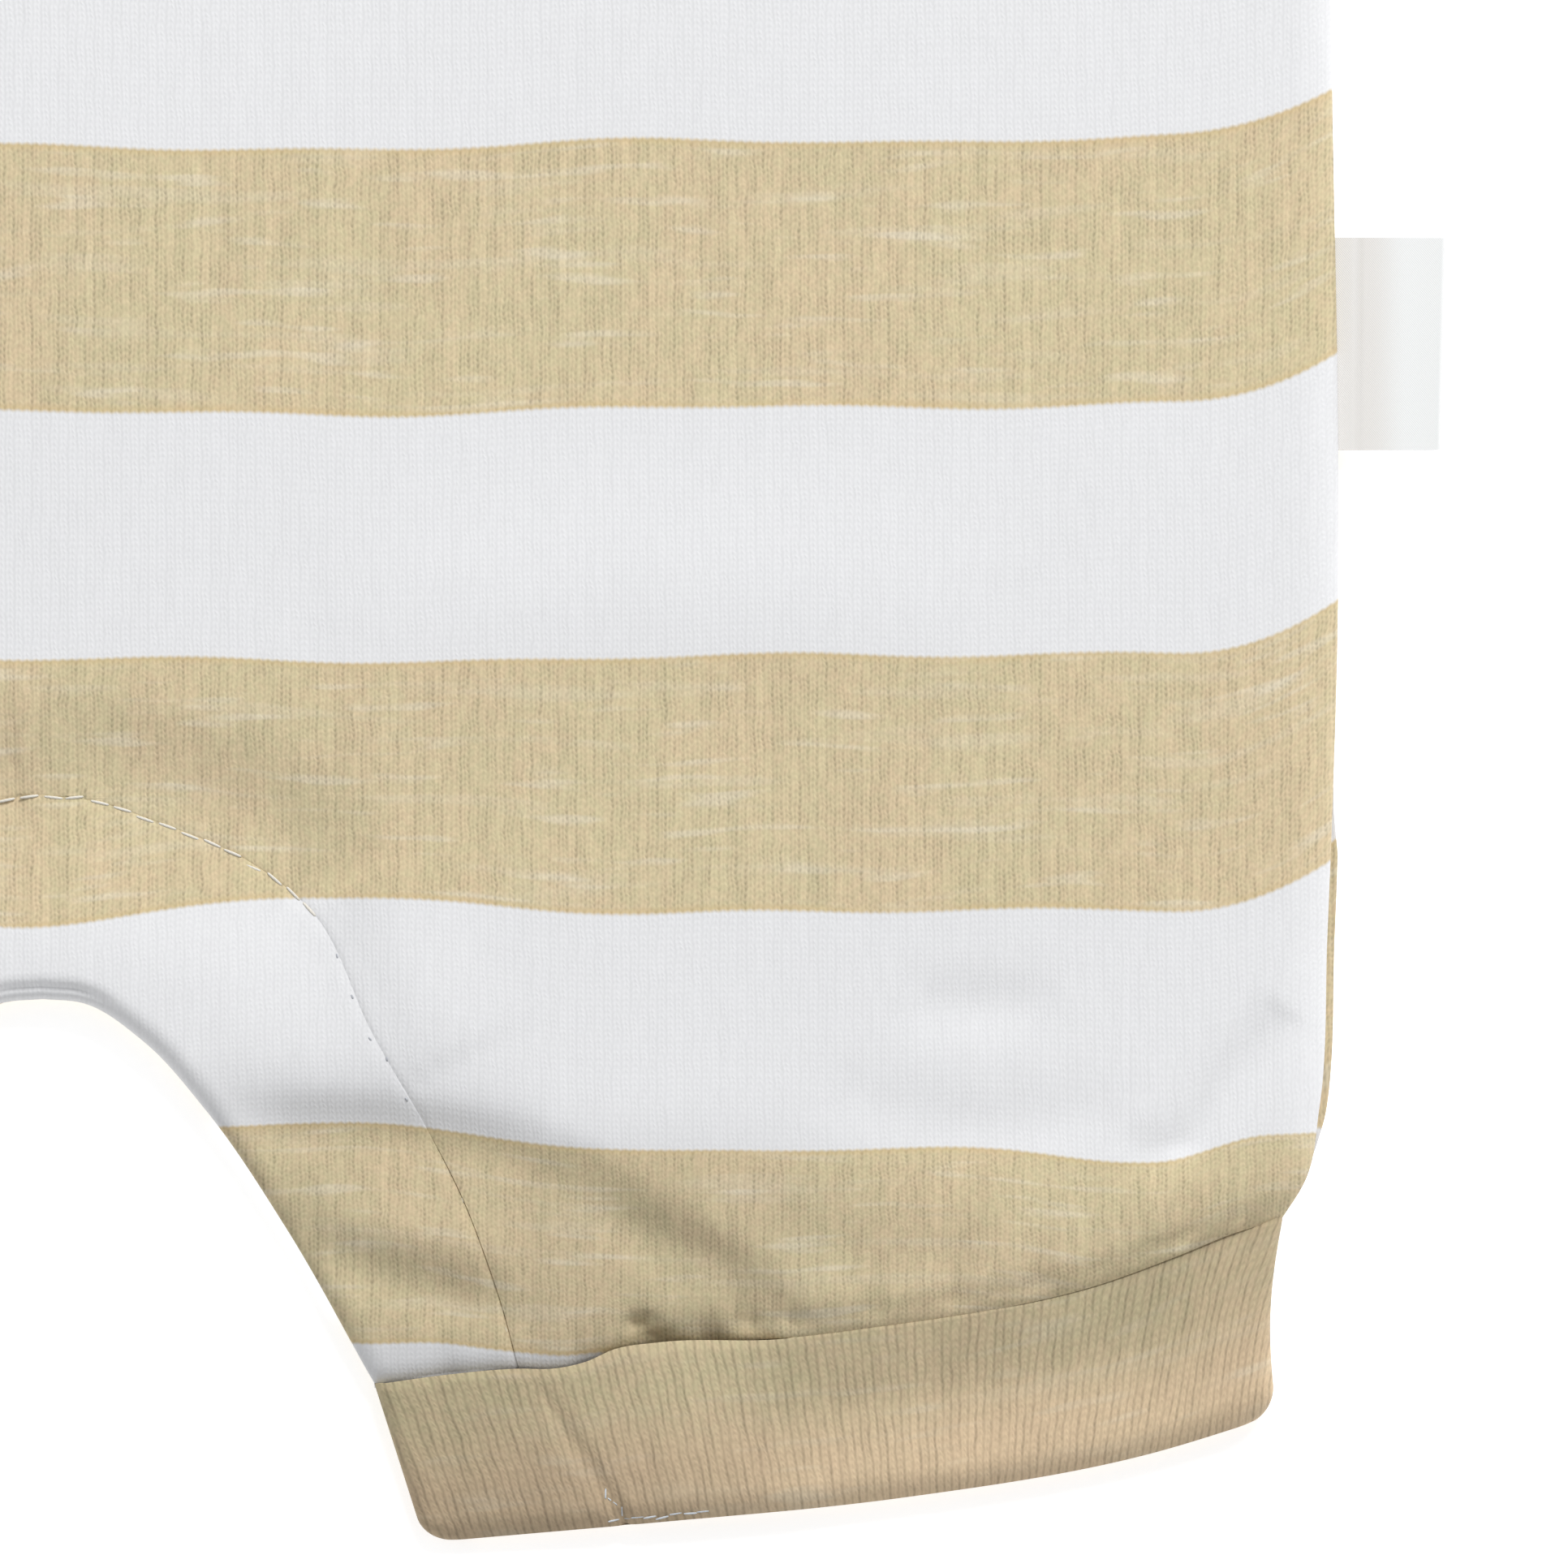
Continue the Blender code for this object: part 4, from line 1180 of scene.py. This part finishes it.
def make_sleeve(name, node, hand):
    fold_reach = SLEEVE_HEIGHT / 2 / np.linalg.norm(np.subtract(SHOULDER_TIP, ARMPIT))

    def seam(t):
        return armhole(t * (1 + fold_reach)) + (0.0001, 0)

    stations = crowded(64, crowd_start=0.4, crowd_end=0.4)
    rings, fraction, upper = pressed_tube(seam, hem, SLEEVE_HEIGHT, stations, 0, 90)
    to_hem = (rings[..., :2] - hem(np.array([0.5]))[0]) @ -hem_out
    groove = 0.00028 * np.exp(-((to_hem - HEM_DEPTH) / 0.0009) ** 2)
    x, y = rings[..., 0], rings[..., 1]
    soft = 0.0005 * np.sin(x / 0.011 - y / 0.017 + hand) * np.sin(math.pi * fraction)
    soft *= np.sin(math.pi * stations)[:, None]
    dip = groove + np.maximum(soft, 0) + rolled_edge(to_hem, 0.0012, 0.0006)
    dip += rolled_edge(np.broadcast_to(stations[:, None], x.shape), 0.02, 0.0005)
    rings[..., 2] *= 1 - dip / SLEEVE_HEIGHT
    across = (rings[..., :2] - SLEEVE_HEM_UNDER) @ hem_way
    place = np.stack([np.where(upper > 0, across, 0.2 - across) + 0.4, to_hem + 0.0400], axis=-1)
    return piece_of_cloth(name, [(rings * (hand, 1, 1), place, hand < 0)], CLOTH, striped_jersey,
                          node, closed=True)


sleeves = [make_sleeve("sleeve_cloth_left", "sleeve_left", 1),
           make_sleeve("sleeve_cloth_right", "sleeve_right", -1)]

# %% [markdown]
# ## Neck bindings
# A binding is a narrow band of the khaki jersey folded over the raw neck edge. Its section is
# a low arch, so its two edges tuck into the seam and the fold. The back's binding goes round
# the shoulder's fold with the lap.

# %% Bindings
BINDING_COLUMNS = 12
BAND_SINK = 0.0004 * np.abs(steps(-1, 1, BINDING_COLUMNS)) ** 4


def band(edge, toward):
    along = unit(np.gradient(edge, axis=0))
    toward = unit(toward)
    slant = np.abs(along[:, 0] * toward[:, 1] - along[:, 1] * toward[:, 0])
    reach = steps(0.00005, BINDING_WIDTH, BINDING_COLUMNS)
    return edge[:, None] + (reach[None, :, None] / slant[:, None, None]) * toward[:, None]


def make_binding(node, rows, flipped):
    """Its cloth runs along the band for the columns of stitches, across it for their rows."""
    run = run_along(rows[:, BINDING_COLUMNS // 2])
    run, reach = np.meshgrid(run, steps(0, BINDING_WIDTH, BINDING_COLUMNS), indexing="ij")
    grids = both_halves(rows, np.stack([run + 0.7, reach], axis=-1), flipped)
    return piece_of_cloth(node + "_cloth", grids, BINDING_CLOTH, binding_jersey, node)


def front_binding_rows():
    t = steps(0, 1, 110)
    points = band(front_neckline(t), between((0, 1), -SHOULDER_ALONG, t))
    points[0, :, 0] = 0
    return with_height(points, FRONT_BINDING_HEIGHT - BAND_SINK[None])


def back_binding_rows():
    t = steps(0, 1, 90)
    lying = band(back_neckline(t), between((0, 1), -SHOULDER_ALONG, t))
    lying[0, :, 0] = 0
    turned = shoulder_fold(lying[-1], LAP_HEIGHT / 2, 10)
    downward = unit(armhole(LAP_REACH - 0.05) - armhole(LAP_REACH))[0]
    lap = band(lap_edge(t), between(-SHOULDER_ALONG, downward, t))
    lap[0] = lying[-1]
    on_lap = with_height(lap, LAP_HEIGHT - smooth(t * 12)[:, None] * BAND_SINK[None])
    return np.concatenate([with_height(lying, 0), turned[1:], on_lap[1:]])


bindings = [make_binding("neck_binding_front", front_binding_rows(), 1),
            make_binding("neck_binding_back", back_binding_rows(), -1)]

# %% [markdown]
# ## Side label
# The label is a short loop of woven tape caught in the side seam. It is left bare. Its outer
# edge is the fold of the tape, so it is rounded, and it droops a little toward the table. The
# tape is a warm off-white at the seam and lighter toward the fold.

# %% Label
LABEL_THICKNESS = 0.0009


def make_tape():
    material, tree, shader = start_finish("label_tape", 0.6, 0.3)
    _, place = place_on_cloth(tree)
    warp = calculate(tree, "SINE", calculate(tree, "MULTIPLY", place[0], 2 * math.pi / 0.00022))
    weft = calculate(tree, "SINE", calculate(tree, "MULTIPLY", place[1], 2 * math.pi / 0.00026))
    weave = calculate(tree, "MULTIPLY", warp, weft)
    light = calculate(tree, "MULTIPLY_ADD", weave, 0.012, 0.985)
    outward = ease(tree, place[0], LABEL_FROM[0] + 0.0030, LABEL_FROM[0] + 0.0070)
    yarn = blend_colours(tree, outward, linear(233, 230, 226), linear(243, 244, 243))
    tree.links.new(lit(tree, yarn, light), shader.inputs["Base Color"])
    add_bump(tree, shader, weave, 0.3, 0.00004)
    return material


def make_label():
    start, end = LABEL_FROM[0] - 0.0007, LABEL_TO[0] + 0.0004
    run, up = np.meshgrid(crowded(40, crowd_end=0.9), steps(0, 1, 40), indexing="xy")
    x = start + (end - start) * run - 0.00050 * run * (1 - up)
    y = LABEL_FROM[1] + (LABEL_TO[1] - LABEL_FROM[1]) * up
    droop = 0.0006 * smooth(run * 1.1)
    height = 0.0020 - droop - rolled_edge((1 - run) * (end - start), 0.0004, 0.0004)
    height -= 0.00018 * np.exp(-((x - start - 0.0026) / 0.00022) ** 2)
    place = np.stack([x, y], axis=-1)
    return piece_of_cloth("side_label_tape", [(with_height(place, height), place, False)],
                          LABEL_THICKNESS, make_tape(), "side_label")


label = make_label()

# %% [markdown]
# ## Sewing thread
# Thread shows where a seam is topstitched, along the gusset's arch and at the sleeves' hems, and
# a little of it at the cuffs' joins. Each stitch is a short spindle that sinks into the cloth at both
# ends. Where the seam crosses white cloth, the needle holes show as small grey spindles: painted
# shade of the holes, not thread. All the stitches of one seam are one mesh.

# %% Thread
def make_thread(name, colour):
    material, tree, shader = start_finish(name, 0.55, 0.3)
    _, place = place_on_cloth(tree)
    slant = calculate(tree, "ADD", place[0], place[1])
    ply = calculate(tree, "SINE", calculate(tree, "MULTIPLY", slant, 18000.0))
    light = calculate(tree, "MULTIPLY_ADD", ply, 0.05, 0.95)
    tree.links.new(lit(tree, colour, light), shader.inputs["Base Color"])
    return material


white_thread = make_thread("white_thread", linear(229, 224, 213))
# Painted shade: grey for the shade in the needle holes along the seam on white cloth.
needle_hole_shade = make_thread("needle_hole_shade", linear(186, 188, 194))
pale_thread = make_thread("pale_thread", linear(218, 208, 186))
join_thread = make_thread("join_thread", linear(206, 212, 218))


def evenly(route, pitch):
    """Points a stitch apart along a route of points, and the route's direction at each."""
    run = run_along(route)
    places = np.arange(pitch / 2, run[-1], pitch)
    centres = np.stack([np.interp(places, run, route[:, axis]) for axis in range(3)], axis=1)
    ahead = np.stack([np.interp(places + pitch / 4, run, route[:, axis]) for axis in range(3)], axis=1)
    return centres, unit(ahead - centres)


def sew(name, routes, pitch, length, radius, material, seed=1, shown=1.0):
    """Spindles along routes: round rings whose radius follows the root of a sine along the
    stitch. Each stitch is turned and shifted a little from the route. Shown is the share of
    stitches that isn't sunk in the cloth."""
    pairs = [evenly(route, pitch) for route in routes]
    centres = np.concatenate([pair[0] for pair in pairs])
    kept = np.random.default_rng(seed + 50).random(len(centres)) < shown
    centres = centres[kept]
    along = np.concatenate([pair[1] for pair in pairs])[kept]
    change = np.random.default_rng(seed).normal(0, 1, (len(centres), 3))
    centres = centres + change * (0.00010, 0.00010, 0.00002)
    along = unit(along + np.cross(along, (0, 0, 1)) * change[:, :1] * 0.10)
    aside = unit(np.cross(along, (0, 0, 1.0)))
    upward = np.cross(aside, along)
    t, turn = np.radians(steps(0, 180, 5)), np.radians(steps(0, 360, 7)[:-1])
    reach = -np.cos(t)[None, :, None, None] * length / 2 * along[:, None, None]
    size = radius * np.sqrt(np.sin(t))[None, :, None, None]
    round_it = (np.cos(turn)[None, None, :, None] * aside[:, None, None]
                + np.sin(turn)[None, None, :, None] * upward[:, None, None])
    points = centres[:, None, None] + reach + size * round_it
    grid = quads(len(t), len(turn), True)
    faces = (grid[None] + (np.arange(len(centres)) * len(t) * len(turn))[:, None, None]).reshape(-1, 4)
    place = np.stack(np.broadcast_arrays((turn * radius)[None, None], (t * length / 3)[None, :, None],
                                         points[..., 0])[:2], axis=-1).reshape(-1, 2)
    mesh = merged_mesh(name, points.reshape(-1, 3), faces, place, material, 1e-7, closed_shapes=True)
    seam = add_object(name, mesh)
    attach(seam, "root")
    print(name, len(centres), "stitches")
    return seam


# %% Topstitching on the arch
def arch_line(start, end, inside):
    """The arch from one fraction to another, moved inside the gusset, on its surface."""
    line = through(GUSSET_ARCH, steps(start, end, 120))
    along = unit(np.gradient(line, axis=0))
    line = line + inside * np.stack([along[:, 1], -along[:, 0]], axis=1)
    return with_height(line, gusset_height(line) - 0.00003)


mirror = np.array([-1, 1, 1])
top_line, low_line = arch_line(0.0, 0.385, 0.00010), arch_line(0.42, 0.66, 0.00025)
leg_line = arch_line(0.68, 0.97, 0.0002)
sew("arch_topstitch", [top_line, top_line * mirror], 0.00235, 0.0020, 0.00016, white_thread, 2)
# Grey spindles of painted shade at the needle holes, where the seam crosses white cloth.
sew("arch_needle_hole_shades", [low_line, low_line * mirror], 0.0023, 0.0005, 0.00012, needle_hole_shade, 3, 0.7)
sew("arch_leg_stitch", [leg_line, leg_line * mirror], 0.0023, 0.0006, 0.00006, pale_thread, 5, 0.6)

# %% Thread that peeks out at the cuff's join
def on_cuff(fraction, down):
    """Points on the cuff's upper face."""
    down = np.broadcast_to(down, fraction.shape)
    place = ((1 - down)[:, None] * through(CUFF_SEAM, fraction)
             + down[:, None] * through(CUFF_FOLD, fraction))
    return with_height(place, CUFF_HEIGHT - cuff_dip(fraction, down) + 0.00004)


down = steps(0.70, 0.93, 20)
join_lines = [on_cuff(cuff_join(down) - 0.004 * np.sin(down * 40), down),
              on_cuff(steps(0.215, 0.330, 20), 0.965)]
sew("cuff_join_stitch", join_lines + [line * mirror for line in join_lines], 0.0013, 0.0014, 0.00010,
    join_thread, 6)

# %% Topstitching on the sleeves
def hem_line(depth, height):
    """Beside the hem's edge, from just inside one fold of the sleeve to just inside the other."""
    return with_height(hem(steps(0.035, 0.955, 60)) - depth * hem_out, height)


hems = [hem_line(depth, height) for depth in (HEM_DEPTH - 0.0006, HEM_DEPTH - 0.0036)
        for height in (SLEEVE_HEIGHT - 0.0001, 0.00002)]
sew("sleeve_topstitch", hems + [line * mirror for line in hems], 0.0025, 0.0019, 0.00011, white_thread, 4)
